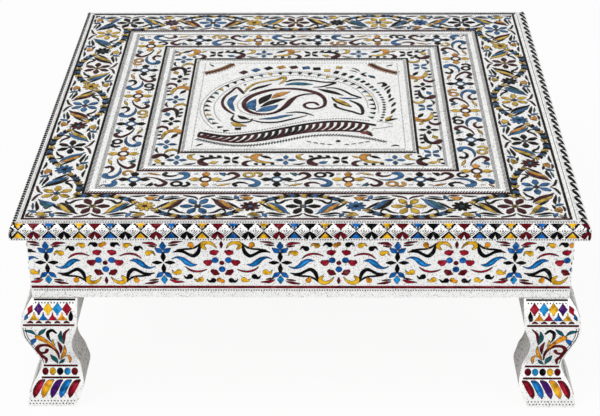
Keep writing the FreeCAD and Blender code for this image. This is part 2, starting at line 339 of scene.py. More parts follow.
def finish(context, name):
    """The material of that finish, made at its first use."""
    found = bpy.data.materials.get(name)
    if found:
        return found
    tones = context.scene.low_table_finishes
    if name in GLARE_DULLED_COLOURS:
        return enamel_material(name, tuple(getattr(tones, name)))
    # The top's copies of the enamel, dulled with painted glare
    if name.startswith("worn_"):
        return enamel_material(name, GLARE_DULLED_COLOURS[name.removeprefix("worn_")])
    metal, speck = tuple(tones.metal), tuple(tones.speck)
    if name == "dark_metal":
        return metal_material(name, tinted(speck, 0.15), speck)
    if name in METALS:
        surface = dict(METALS[name])
        # Some finishes are the metal darkened with painted shade
        tone = blended(metal, surface.pop("mixed", metal), surface.pop("share", 0))
        return metal_material(name, tone, tinted(speck, surface.pop("speck_share", 1)), **surface)
    if name == "bare_wood":
        return wood_material(name, tuple(tones.wood))
    if name == "plated_steel":
        return steel_material(name, tuple(tones.steel))
    if name == "pale_floor":
        return floor_material(name, tuple(tones.floor))
    raise ValueError("there is no finish named " + name)


# Motifs. Each is (tone, line, closed, rounded). The line's rows are u, v and width, and
# rounded says whether its ends are round.

def smooth_line(knots, step):
    """Rows through the knots, evenly spaced and smooth, with their widths."""
    rows = np.array(knots, float)
    along = np.concatenate([[0], np.cumsum(np.hypot(*np.diff(rows[:, :2], axis=0).T))])
    count = max(4, int(round(along[-1] / step)) + 1)
    places = np.linspace(0, along[-1], count)
    slopes = np.gradient(rows, along, axis=0, edge_order=1)
    index = np.clip(np.searchsorted(along, places, side="right") - 1, 0, len(along) - 2)
    span = (along[index + 1] - along[index])[:, None]
    x = (places[:, None] - along[index][:, None]) / span
    start, end = rows[index], rows[index + 1]
    first, last = slopes[index] * span, slopes[index + 1] * span
    made = (
        start * (2 * x ** 3 - 3 * x ** 2 + 1) + first * (x ** 3 - 2 * x ** 2 + x)
        + end * (3 * x ** 2 - 2 * x ** 3) + last * (x ** 3 - x ** 2)
    )
    made[:, 2] = np.clip(made[:, 2], LEAST_WIDTH, None)
    return made


def leaf(tone, *knots, step=0.9):
    """A tapered form along a smooth line. Each knot is u, v and the width there."""
    return (tone, smooth_line(knots, step), False, True)


def slab(tone, *knots):
    """A tapered form with square ends and straight sides."""
    return (tone, np.array(knots, float), False, False)


def long_line(tone, start, end, middle, width, count=2):
    """A straight line along a strip, with square ends."""
    return slab(tone, *[(u, middle, width) for u in np.linspace(start, end, count)])


def sunk_line(places, width, step=1.6):
    """A smooth sunk line, where the metal has darkened."""
    return leaf("dark", *[(u, v, width) for u, v in places], step=step)


def dot(tone, u, v, across, along=None):
    """A round bead, or an oval one where the second radius is given."""
    along = across if along is None else along
    shares = np.array([-0.93, -0.6, -0.2, 0.2, 0.6, 0.93])
    widths = 2 * along * np.sqrt(1 - shares ** 2)
    rows = np.column_stack([u + across * shares, np.full(len(shares), float(v)), widths])
    return (tone, rows, False, False)


def ring(tone, u, v, across, along, width, count=14):
    """A closed oval."""
    turn = np.linspace(0, 2 * math.pi, count, endpoint=False)
    rows = np.column_stack([u + across * np.cos(turn), v + along * np.sin(turn), np.full(count, width)])
    return (tone, rows, True, False)


def comma(tone, tail, middle, head, radius):
    """A round head with a curling tail."""
    return [
        leaf(tone, (*tail, 0.4), (*middle, radius * 0.9), (*head, radius * 1.5)),
        dot(tone, *head, radius),
    ]


def heavier(motifs, share):
    """The same motifs with wider lines."""
    return [(tone, line * (1, 1, share), *ends) for tone, line, *ends in motifs]


def moved(motifs, du=0.0, dv=0.0, flip_u=False, flip_v=False, angle=0.0, scale=1.0, paint=None):
    """Copies of motifs: flipped, scaled, turned by an angle in degrees, shifted and repainted."""
    turn = math.radians(angle)
    cos, sin = math.cos(turn), math.sin(turn)
    made = []
    for tone, rows, *ends in motifs:
        u = rows[:, 0] * (-scale if flip_u else scale)
        v = rows[:, 1] * (-scale if flip_v else scale)
        line = np.column_stack([u * cos - v * sin + du, u * sin + v * cos + dv, rows[:, 2] * scale])
        made.append(((paint or {}).get(tone, tone), line, *ends))
    return made


def both(*motifs, across=False):
    """Motifs and their mirror images along a strip, or across it."""
    return [*motifs, *moved(motifs, flip_u=not across, flip_v=across)]


def streaked(motif, tone, share):
    """A form with a narrower streak of another colour along its middle."""
    line = motif[1] * (1, 1, share)
    return [motif, (tone + "_streak", line, *motif[2:])]


def petals(motifs, count, start=0.0):
    """The same motifs turned evenly round the origin."""
    made = []
    for index in range(count):
        made += moved(motifs, angle=start + 360 * index / count)
    return made


# Raised forms

def closing(spot, outward, width, rounded, grow):
    """Rows and tip that close one end of a form."""
    bulge = 1.0
    if not rounded:
        bulge = min(1.0, SQUARE_REACH / max(width, SQUARE_REACH) + grow / width * 2)
    reach = width / 2 * bulge
    shares = ROW_SHARES if width > WIDTH_WITH_ROWS and bulge > BULGE_WITH_ROWS else ()
    rows = [(spot + outward * reach * share, width * math.sqrt(1 - share ** 2)) for share in shares]
    return rows, spot + outward * reach


def ridge(motif, section, height, foot, grow=0.0):
    """Points and faces of a closed raised form over a line."""
    tone, line, closed, rounded = motif
    spots = line[:, :2]
    widths = line[:, 2] + 2 * grow
    ahead = np.roll(spots, -1, 0) - np.roll(spots, 1, 0) if closed else np.gradient(spots, axis=0)
    ahead = ahead / np.linalg.norm(ahead, axis=1, keepdims=True)
    tips = []
    if not closed:
        first, first_tip = closing(spots[0], -ahead[0], widths[0], rounded, grow)
        last, last_tip = closing(spots[-1], ahead[-1], widths[-1], rounded, grow)
        stations = [*reversed(first), *zip(spots, widths), *last]
        spots = np.array([spot for spot, width in stations])
        widths = np.array([width for spot, width in stations])
        ahead = np.array([ahead[0]] * len(first) + list(ahead) + [ahead[-1]] * len(last))
        tips = [first_tip, last_tip]
    across = np.column_stack([-ahead[:, 1], ahead[:, 0]])
    places = np.array([place for place, share in section])
    shares = np.array([share for place, share in section], float)
    tops = height * np.minimum(1.0, widths / FULL_WIDTH) ** HEIGHT_POWER
    flat = spots[:, None, :] + across[:, None, :] * (places[None, :, None] * widths[:, None, None] / 2)
    levels = -foot + shares[None, :] * (tops[:, None] + foot)
    points = np.concatenate([flat, levels[:, :, None]], axis=2).reshape(-1, 3)
    rows, columns = len(spots), len(section)
    faces = []
    for row in range(rows if closed else rows - 1):
        here, there = row * columns, (row + 1) % rows * columns
        for column in range(columns):
            beside = (column + 1) % columns
            faces.append((here + column, there + column, there + beside, here + beside))
    if not closed:
        first_tip, last_tip = len(points), len(points) + 1
        end = (rows - 1) * columns
        points = np.vstack([points, [(*tips[0], -foot), (*tips[1], -foot)]])
        for column in range(columns):
            beside = (column + 1) % columns
            faces.append((first_tip, column, beside))
            faces.append((end + column, last_tip, end + beside))
    return points, faces


def trimmed(points, faces, cuts):
    """Cut a closed form off at some upright planes, and close it again."""
    form = bmesh.new()
    corners = [form.verts.new(point) for point in points]
    for face in faces:
        form.faces.new([corners[index] for index in face])
    for spot, inward in cuts:
        everything = form.verts[:] + form.edges[:] + form.faces[:]
        cut = bmesh.ops.bisect_plane(
            form, geom=everything, plane_co=(*spot, 0), plane_no=(-inward[0], -inward[1], 0),
            clear_outer=True,
        )
        rim = [edge for edge in cut["geom_cut"] if isinstance(edge, bmesh.types.BMEdge)]
        if rim:
            bmesh.ops.holes_fill(form, edges=rim, sides=0)
    form.verts.index_update()
    points = np.array([corner.co[:] for corner in form.verts]).reshape(-1, 3)
    faces = [tuple(corner.index for corner in face.verts) for face in form.faces]
    form.free()
    return points, faces


# The name and the finish of the pieces in bare metal. The bare forms on the legs' sides are darkened with
# painted shade.
METAL_TONES = {
    "metal": ("beads", "bright_metal"),
    "dark": ("rims", "dark_metal"),
    "bare": ("bare_forms", "plain_metal"),
}


class Relief:
    """Raised forms of one sheet, gathered by colour."""

    def __init__(self, context, place, cuts=(), worn=False):
        sizes = context.scene.low_table_sizes
        self.context = context
        self.place = place
        self.worn = worn
        self.cuts = [(np.array(spot, float), np.array(inward, float)) for spot, inward in cuts]
        self.foot = sizes.foot_depth / MM
        self.enamel_height = sizes.enamel_height / MM
        self.rim_height = sizes.rim_height / MM
        self.rim_width = sizes.rim_width / MM * (TOP_RIM_WIDENING if worn else 1)
        self.spread = sizes.enamel_spread / MM
        self.forms = {}

    def kept(self, line):
        """Whether a line lies inside the cuts, outside them, or across one."""
        across = False
        for spot, inward in self.cuts:
            inward = inward / np.linalg.norm(inward)
            reach = (line[:, :2] - spot) @ inward
            half = line[:, 2].max() / 2 + self.rim_width
            if (reach <= -half).all():
                return "outside"
            if (reach < half).any():
                across = True
        return "across" if across else "inside"

    def raise_form(self, tone, motif, section, height, grow=0.0):
        """Add one form unless it lies outside the cuts."""
        state = self.kept(motif[1])
        if state == "outside":
            return
        points, faces = ridge(motif, section, height, self.foot, grow)
        if state == "across":
            points, faces = trimmed(points, faces, self.cuts)
        if len(faces):
            self.forms.setdefault(tone, []).append((points, faces))

    def add(self, motifs, rims=True):
        """Add enamelled forms, each inside its dark rim, which is partly tarnish in the crease at the form's
        foot and partly painted shade. Bare forms stay white metal without enamel, darkened with painted
        shade.
        """
        for motif in motifs:
            tone, line, *ends = motif
            if tone == "metal":
                self.raise_form(tone, motif, STRAND_SECTION, self.enamel_height)
            elif tone == "dark":
                self.raise_form(tone, motif, RIM_SECTION, self.rim_height)
            elif tone.endswith("_streak"):
                height = self.enamel_height * STREAK_RISE
                self.raise_form(tone.removesuffix("_streak"), motif, ENAMEL_SECTION, height)
            else:
                # The dark rim round each form is partly tarnish in the crease at its foot and partly painted
                # shade
                if rims:
                    self.raise_form("dark", motif, RIM_SECTION, self.rim_height, self.spread)
                    inner = np.maximum(line[:, 2] - 2 * self.rim_width, line[:, 2] * LEAST_SHARE)
                    motif = (tone, np.column_stack([line[:, :2], inner]), *ends)
                self.raise_form(tone, motif, ENAMEL_SECTION, self.enamel_height)

    def build(self, name):
        """Make one piece for each tone."""
        for tone in sorted(self.forms):
            points, faces, start = [], [], 0
            for part_points, part_faces in self.forms[tone]:
                points.append(part_points)
                faces += [tuple(index + start for index in face) for face in part_faces]
                start += len(part_points)
            if tone in METAL_TONES:
                label, material = METAL_TONES[tone]
                slot = "white_metal"
            else:
                label = slot = "enamel_" + tone
                # On the top the enamel takes its copy that is dulled with painted glare
                material = "worn_" + tone if self.worn else tone
            points = self.place(np.vstack(points))
            new_piece(self.context, name + "_" + label, points, faces, material)


def new_piece(context, name, points, faces, material, replaced=(), sharp=38):
    """Make a piece from points in metres. It rides on the table's only body."""
    mesh = bpy.data.meshes.new(name)
    mesh.from_pydata(np.asarray(points).tolist(), [], [list(face) for face in faces])
    mesh.validate()
    form = bmesh.new()
    form.from_mesh(mesh)
    bmesh.ops.recalc_face_normals(form, faces=form.faces[:])
    form.to_mesh(mesh)
    form.free()
    mesh.shade_smooth()
    mesh.set_sharp_from_angle(angle=math.radians(sharp))
    mesh.materials.append(finish(context, material))
    piece = bpy.data.objects.new(name, mesh)
    context.scene.collection.objects.link(piece)
    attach(piece, "root")
    if replaced:
        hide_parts(*replaced)
    return piece


def turned(points, side):
    """Turn points made at the front to one of the four sides."""
    made = np.array(points, float)
    for quarter in range(SIDES.index(side)):
        made = np.column_stack([-made[:, 1], made[:, 0], made[:, 2]])
    return made


def front_box(node, side):
    """Box of a node in millimetres, turned back from its side to the front."""
    low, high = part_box(node)
    corners = np.array([low[:], high[:]]) / MM
    for quarter in range(SIDES.index(side)):
        corners = np.column_stack([corners[:, 1], -corners[:, 0], corners[:, 2]])
    return corners.min(0), corners.max(0)


# Sheets of the top

def prism(outline, ends):
    """Points and faces of a long solid. The outline's rows are a place across and a height,
    and ends gives both ends of the solid along u at a place across."""
    points = []
    for across, height in outline:
        points += [(u, across, height) for u in ends(across)]
    count = len(outline)
    faces = [tuple(range(0, 2 * count, 2)), tuple(range(1, 2 * count, 2))]
    for index in range(count):
        after = (index + 1) % count
        faces.append((2 * index, 2 * index + 1, 2 * after + 1, 2 * after))
    return points, faces


class Strip:
    """One mitred strip of a band on the top. Its t runs inwards from the outer edge."""

    def __init__(self, context, node, side):
        self.context = context
        self.node = node
        self.side = side
        self.low, self.high = front_box(node, side)
        self.depth = self.high[1] - self.low[1]
        self.ground = self.high[2] - context.scene.low_table_sizes.ground_depth / MM
        self.start, self.end = self.low[0], self.high[0]

    def place(self, points):
        """Points in u, t and height, put on the table in metres."""
        made = np.array(points, float)
        made[:, 1] += self.low[1]
        made[:, 2] += self.ground
        return turned(made, self.side) * MM

    def cuts(self):
        """The two mitres."""
        return [((self.start, 0), (1, -1)), ((self.end, 0), (-1, -1))]

    def ground_piece(self, name, profile):
        """The sheet's ground, mitred at both ends. The profile's rows are t and height."""
        bottom = self.low[2] - self.ground
        outline = [*profile, (self.depth, bottom), (0, bottom)]
        points, faces = prism(outline, lambda t: (self.start + t, self.end - t))
        new_piece(
            self.context, name, self.place(points), faces, "stippled_metal", [self.node],
            sharp=20,
        )


# How steep the sides of a flute are
FLUTE_POWER = 0.8
# Strands of a rope and the dark gaps of painted shade between them: how far they lean, as a share of half the
# rope's width, how wide they are, as shares of its pitch, and how wide a strand's ends are
ROPE_LEAN = 0.6
STRAND_SHARE = 0.34
SHADE_GAP_SHARES = (0.62, 0.5)
STRAND_END = 0.4
# Scratches of a hatched border: their spacing as a share of the rope's, lean and width
HATCHING_SHARE = 0.62
HATCHING_LEAN = 0.5
HATCHING_WIDTH = 0.5
# Width of the dark line under a row of beads, as a share of their radius
BEAD_LINE = 1.6


def fluted(depth, flutes, height):
    """Profile of a flat ground with plain flutes. Each flute is its middle and its width."""
    rows = [(0, 0)]
    for middle, width in flutes:
        for share in np.linspace(-1, 1, 9):
            rows.append((middle + share * width / 2, height * math.cos(share * math.pi / 2) ** FLUTE_POWER))
    rows.append((depth, 0))
    return rows


def strokes(tone, places, middle, half, lean, first, last):
    """Slanted strokes across a border, each as wide as first at its start and last at its end."""
    return [slab(tone, (u - lean, middle - half, first), (u + lean, middle + half, last)) for u in places]


def repeats(start, end, pitch):
    """Evenly spaced places from a start to an end."""
    return start + pitch * np.arange(int((end - start) / pitch) + 1)


def rope(sizes, start, end, middle, width):
    """A row of slanted strands, with painted shade in the dark gaps between them."""
    pitch = sizes.rope_pitch / MM
    half = width / 2
    lean = half * ROPE_LEAN
    places = repeats(start, end, pitch)
    gaps = strokes("dark", places + pitch / 2, middle, half, lean, *[pitch * share for share in SHADE_GAP_SHARES])
    strands = []
    for u in places:
        ends = [(u + way * lean, middle + way * half, STRAND_END) for way in (-1, 1)]
        rows = np.array([ends[0], (u, middle, pitch * STRAND_SHARE), ends[1]])
        strands.append(("metal", rows, False, True))
    return strands + gaps


def hatching(sizes, start, end, middle, width):
    """A row of fine slanted scratches."""
    places = repeats(start, end, sizes.rope_pitch / MM * HATCHING_SHARE)
    half = width / 2
    return strokes("dark", places, middle, half, half * HATCHING_LEAN, HATCHING_WIDTH, HATCHING_WIDTH)


def bead_row(sizes, start, end, middle, along_t=1.0):
    """A row of round beads on a dark line."""
    radius = sizes.bead_radius / MM
    places = repeats(start, end, sizes.bead_pitch / MM)
    beads = [dot("metal", u, middle, radius, radius * along_t) for u in places]
    return [long_line("dark", start, end, middle, radius * BEAD_LINE), *beads]


def border_line(sizes, start, end, middle, tone="black"):
    """A long painted line."""
    return [long_line(tone, start, end, middle, sizes.line_width / MM)]


def numbered(start, end, phase, step):
    """Number and place of each repeat from one end to the other, with a spare one at each end."""
    first = int(math.floor((start - phase) / step)) - 1
    last = int(math.ceil((end - phase) / step)) + 1
    return [(index, phase + index * step) for index in range(first, last + 1)]


# The outer band: a frieze of flowers, daisies and a winding garland. Flowers and daisies
# take turns every half cell, and every second cell is flipped across the strip.
OUTER_CELL = 70.4
OUTER_MIDDLE = 18.4
FLOWER_PETAL = [leaf("flower", (3.2, 0, 1.4), (5.4, 0, 4.4), (8.0, 0, 6.0), (10.3, 0, 4.2))]
DAISY_PETAL = [leaf("daisy", (1.8, 0, 1.4), (3.8, 0, 3.3), (5.5, 0, 2.6))]
HALF_CELL = [
    leaf("hook", (0.6, 9.8, 0.6), (2.4, 12.2, 1.8), (5.6, 13.6, 2.0), (10.0, 14.8, 1.4)),
    leaf("inner", (8.5, 10.9, 0.6), (11.0, 8.6, 2.4), (13.2, 4.4, 3.5), (16.4, -0.2, 3.5),
         (20.0, -3.4, 2.2), (23.4, -5.0, 0.4)),
    leaf("outer", (12.4, 9.4, 0.6), (15.8, 6.8, 3.0), (18.8, 2.4, 3.8), (22.1, -1.4, 3.0),
         (24.6, -4.0, 0.5)),
    leaf("thin", (19.6, 5.8, 0.6), (22.8, 2.4, 2.1), (26.0, -1.2, 2.0), (28.9, -3.7, 0.6)),
    leaf("thin", (7.6, -9.6, 0.8), (12.0, -8.0, 2.0), (16.4, -4.2, 2.2), (18.2, -5.4, 1.7),
         (18.9, -8.2, 0.7)),
    leaf("black", (11.6, 11.8, 0.6), (15.6, 11.0, 2.1), (22.6, 9.6, 1.9), (24.4, 9.9, 0.7)),
    leaf("teal", (13.6, 13.8, 0.5), (18.0, 13.2, 1.7), (22.4, 12.4, 0.6)),
    leaf("blue", (24.4, 14.8, 1.2), (25.2, 12.3, 3.6), (26.8, 9.8, 1.2)),
    leaf("black", (25.6, 7.4, 0.5), (28.2, 8.3, 2.2), (31.0, 8.6, 1.0)),
    leaf("maroon", (27.0, 14.2, 0.7), (30.5, 15.0, 2.0), (34.2, 14.8, 0.8)),
    leaf("bud", (28.4, 12.2, 1.0), (32.0, 11.6, 4.2), (36.2, 12.0, 1.0)),
    leaf("bud", (30.6, 9.2, 0.8), (32.8, 9.4, 2.8), (35.6, 10.4, 0.6)),
    leaf("black", (24.0, -14.2, 0.7), (28.6, -13.9, 2.1), (33.8, -14.8, 0.8)),
]
GARLAND_LEAF = both(
    leaf("garland", (1.4, 0.4, 1.3), (-0.6, 1.1, 2.6), (-2.4, 2.3, 0.9), step=0.7), across=True,
)
GARLAND_PATH = [
    (0.0, -14.2, 0, "yellow"), (3.7, -14.7, -2, "black"), (7.3, -14.8, 2, "blue"),
    (10.9, -14.3, 9, "black"), (14.4, -13.0, 18, "yellow"), (17.9, -11.6, 20, "black"),
    (21.3, -10.3, 24, "blue"), (24.6, -8.3, 36, "black"), (27.4, -5.6, 50, "yellow"),
]
OUTER_CELLS = [
    {"flower": "maroon", "ring": "yellow", "eye": "black", "hook": "maroon", "bud": "yellow",
     "left": {"inner": "black", "outer": "yellow"}, "right": {"inner": "yellow", "outer": "blue"}},
    {"flower": "blue", "ring": "black", "eye": "black", "hook": "black", "bud": "orange",
     "left": {"inner": "maroon", "outer": "yellow"}, "right": {"inner": "maroon", "outer": "orange"}},
    {"flower": "black", "ring": "blue", "eye": "yellow", "hook": "maroon", "bud": "yellow",
     "left": {"inner": "blue", "outer": "yellow"}, "right": {"inner": "blue", "outer": "orange"}},
    {"flower": "yellow", "ring": "blue", "eye": "black", "hook": "maroon", "bud": "orange",
     "left": {"inner": "black", "outer": "blue"}, "right": {"inner": "blue", "outer": "teal"}},
]
DAISIES = [("yellow", "maroon"), ("maroon", "azure"), ("blue", "black"), ("black", "teal")]
OUTER_PHASES = {"front": -138.6, "right": -205.8, "back": 8.3, "left": -66.4}
# How much smaller the flowers are than drawn, and which cells are flipped across the strip
FLOWER_SCALES = {"front": 0.95, "right": 0.88, "back": 0.95, "left": 0.88}
OUTER_FLIPS = {"front": 0, "right": 1, "back": 0, "left": 1}
FLOWER_PETALS = 6
FLOWER_HEART = [ring("ring", 0, 0, 1.9, 1.9, 1.3, 10), dot("eye", 0, 0, 0.9)]
DAISY_PETALS = 9
DAISY_EYE = 1.6


def outer_cell(kind, flower_scale):
    """One flower with the leaves round it, up to the daisies on both sides."""
    tones = OUTER_CELLS[kind]
    made = moved(petals(FLOWER_PETAL, FLOWER_PETALS) + FLOWER_HEART, scale=flower_scale, paint=tones)
    for side, mirrored in (("left", True), ("right", False)):
        half = moved(HALF_CELL, paint={"thin": "black", **tones, **tones[side]})
        for u, v, angle, tone in GARLAND_PATH:
            if u or not mirrored:
                half += moved(GARLAND_LEAF, u, v, angle=angle + 180, paint={"garland": tone})
        made += moved(half, flip_u=mirrored)
    return made


def outer_band_motifs(start, end, side):
    """The frieze between two ends."""
    made = []
    for index, middle in numbered(start, end, OUTER_PHASES[side], OUTER_CELL):
        cell = outer_cell(index % 4, FLOWER_SCALES[side])
        made += moved(cell, middle, OUTER_MIDDLE, flip_v=index % 2 == OUTER_FLIPS[side])
        tone, eye = DAISIES[index % 4]
        daisy = petals(moved(DAISY_PETAL, paint={"daisy": tone}), DAISY_PETALS, 90)
        daisy.append(dot(eye, 0, 0, DAISY_EYE))
        made += moved(daisy, middle + OUTER_CELL / 2, OUTER_MIDDLE)
    return made


# The middle band: rings with four shields, and sets of scrolls between them.
MIDDLE_STEP = 49.25
MIDDLE_CENTRE = 19.7
SHIELD = [leaf("shield", (5.4, 0, 4.0), (7.3, 0, 6.0), (9.2, 0, 4.6), (10.6, 0, 1.2), step=0.8)]
DASHES = both(long_line("dark", 5.2, 8.4, 7.4, 0.5), long_line("dark", 5.4, 8.2, 8.6, 0.5))
SCROLLS = [
    leaf("maroon", (8.0, -3.6, 0.5), (14.6, -1.7, 1.6), (19.4, 1.6, 2.6), (22.2, 5.4, 3.4),
         (20.2, 8.7, 3.6), (16.6, 9.0, 2.8), (15.4, 7.2, 2.0)),
    leaf("hook", (21.4, 0.4, 0.5), (27.5, 0.9, 2.1), (33.2, -0.9, 2.9), (36.4, -4.8, 4.2),
         (34.8, -8.6, 5.0), (31.8, -9.0, 3.8)),
    ring("curl", 29.8, 6.6, 3.4, 3.1, 2.3, 12),
    leaf("curl", (32.4, 8.9, 1.6), (35.4, 9.9, 2.5), (38.4, 7.3, 2.7), (37.2, 4.6, 2.4)),
    leaf("arch", (29.8, -7.2, 0.6), (26.8, -5.0, 2.0), (22.6, -4.9, 2.6), (20.0, -7.2, 3.0),
         (21.2, -9.2, 3.2)),
    leaf("bud", (9.2, 9.6, 0.9), (11.6, 7.8, 3.2), (12.8, 5.2, 1.2)),
    leaf("bud", (12.2, 9.8, 0.7), (13.2, 8.0, 1.8), (14.0, 6.6, 0.5)),
    leaf("stalk", (8.2, -9.6, 0.4), (12.6, -8.0, 2.6), (17.4, -6.4, 0.6)),
]
SCROLL_PAINTS = [
    {"hook": "blue", "curl": "black", "arch": "black", "bud": "black", "stalk": "orange"},
    {"hook": "blue", "curl": "yellow", "arch": "black", "bud": "blue", "stalk": "yellow"},
    {"hook": "blue", "curl": "black", "arch": "maroon", "bud": "teal", "stalk": "yellow"},
    {"hook": "blue", "curl": "orange", "arch": "maroon", "bud": "teal", "stalk": "yellow"},
]
# Every third set of scrolls is flipped across the strip: its remainder on each side
SCROLL_FLIPS = {"front": 0, "right": 1, "back": 1, "left": 2}
MIDDLE_PHASES = {"front": -114.9, "right": -161.2, "back": -10.9, "left": -62.6}


def middle_band_motifs(start, end, side):
    """Rings, shields and scrolls between two ends."""
    across = SIDES.index(side) % 2
    made = []
    for index, middle in numbered(start, end, MIDDLE_PHASES[side], MIDDLE_STEP):
        flower = petals(DASHES, 2)
        for petal in range(4):
            tone = "black"
            if index % 2:
                tone = "orange" if petal % 2 != across else "yellow"
            flower += moved(SHIELD, angle=90 * petal, paint={"shield": tone})
        flower.append(ring("maroon" if index % 2 else "blue", 0, 0, 3.7, 3.5, 1.9))
        made += moved(flower, middle, MIDDLE_CENTRE)
        flipped = index % 3 == SCROLL_FLIPS[side]
        made += moved(SCROLLS, middle, MIDDLE_CENTRE, flip_v=flipped, paint=SCROLL_PAINTS[index % 4])
    return made


# The inner band: upright and diagonal stars with commas between them.
INNER_STEP = 38.5
INNER_CENTRE = 15.4
STAR_PETAL = [leaf("star", (1.2, 0, 0.6), (3.4, 0, 3.2), (5.4, 0, 3.0), (7.2, 0, 0.7), step=0.8)]
AFTER_UPRIGHT = [
    leaf("yellow", (11.8, 9.0, 1.0), (8.6, 6.6, 2.8), (9.4, 2.6, 2.8), (14.6, -0.3, 0.5)),
    leaf("black", (5.0, -6.2, 0.5), (9.6, -6.5, 1.7), (13.6, -4.6, 0.5)),
    leaf("maroon", (20.4, -6.6, 4.4), (17.7, -4.7, 5.0), (16.8, -2.4, 4.0)),
    leaf("black", (16.9, -0.4, 3.4), (19.4, 2.0, 3.2), (25.0, 3.3, 2.6), (31.6, 3.4, 0.9)),
    leaf("black", (16.2, 7.2, 0.4), (17.8, 5.4, 2.8), (19.0, 4.6, 0.8), step=0.7),
    leaf("black", (22.4, 7.6, 0.4), (24.0, 6.0, 2.8), (25.2, 5.4, 0.8), step=0.7),
    leaf("black", (28.2, 7.2, 0.4), (29.8, 5.6, 2.6), (31.0, 5.0, 0.8), step=0.7),
    leaf("bud", (23.2, -4.6, 0.8), (26.0, -4.0, 4.0), (29.2, -2.6, 0.8)),
]
AFTER_DIAGONAL = [
    leaf("maroon", (14.6, -1.2, 0.8), (11.0, -2.4, 2.4), (9.2, -6.0, 3.2), (11.8, -9.0, 2.0)),
    leaf("yellow", (8.6, 6.2, 0.6), (10.8, 4.8, 2.4), (13.2, 3.6, 0.6)),
    leaf("orange", (20.6, 8.4, 2.2), (17.0, 7.2, 4.8), (15.9, 3.0, 4.6), (17.2, 0.2, 3.8)),
    leaf("yellow", (19.0, -1.9, 3.4), (23.6, -3.4, 2.8), (30.2, -4.0, 0.6)),
    leaf("black", (18.8, -7.6, 0.4), (17.6, -6.0, 2.7), (16.6, -5.0, 0.8), step=0.7),
    leaf("black", (24.2, -8.0, 0.4), (23.0, -6.6, 2.8), (22.2, -5.6, 0.8), step=0.7),
    leaf("black", (30.4, -7.4, 0.4), (29.2, -6.0, 2.8), (28.2, -5.2, 0.8), step=0.7),
    leaf("black", (21.2, 6.2, 1.2), (24.2, 4.8, 3.2), (28.4, 2.4, 0.4)),
]
INNER_PHASES = {"front": -87.9, "right": -84.8, "back": -44.0, "left": -83.9}
# Which stars stand diagonally on each side: the remainder of their number by two
DIAGONAL_STARS = {"front": 1, "right": 0, "back": 1, "left": None}
# How much heavier the forms of the inner band are than drawn
INNER_WEIGHT = 1.15


def inner_band_motifs(start, end, side):
    """Stars and commas between two ends."""
    made = []
    for index, middle in numbered(start, end, INNER_PHASES[side], INNER_STEP):
        angle = 45 if index % 2 == DIAGONAL_STARS[side] else 0
        star = petals(moved(STAR_PETAL, paint={"star": "black" if index % 2 else "blue"}), 4, angle)
        if index % 2:
            star += AFTER_DIAGONAL
        else:
            star += moved(AFTER_UPRIGHT, paint={"bud": "yellow" if index % 4 == 0 else "blue"})
        made += moved(heavier(star, INNER_WEIGHT), middle, INNER_CENTRE, flip_v=side == "back")
    return made


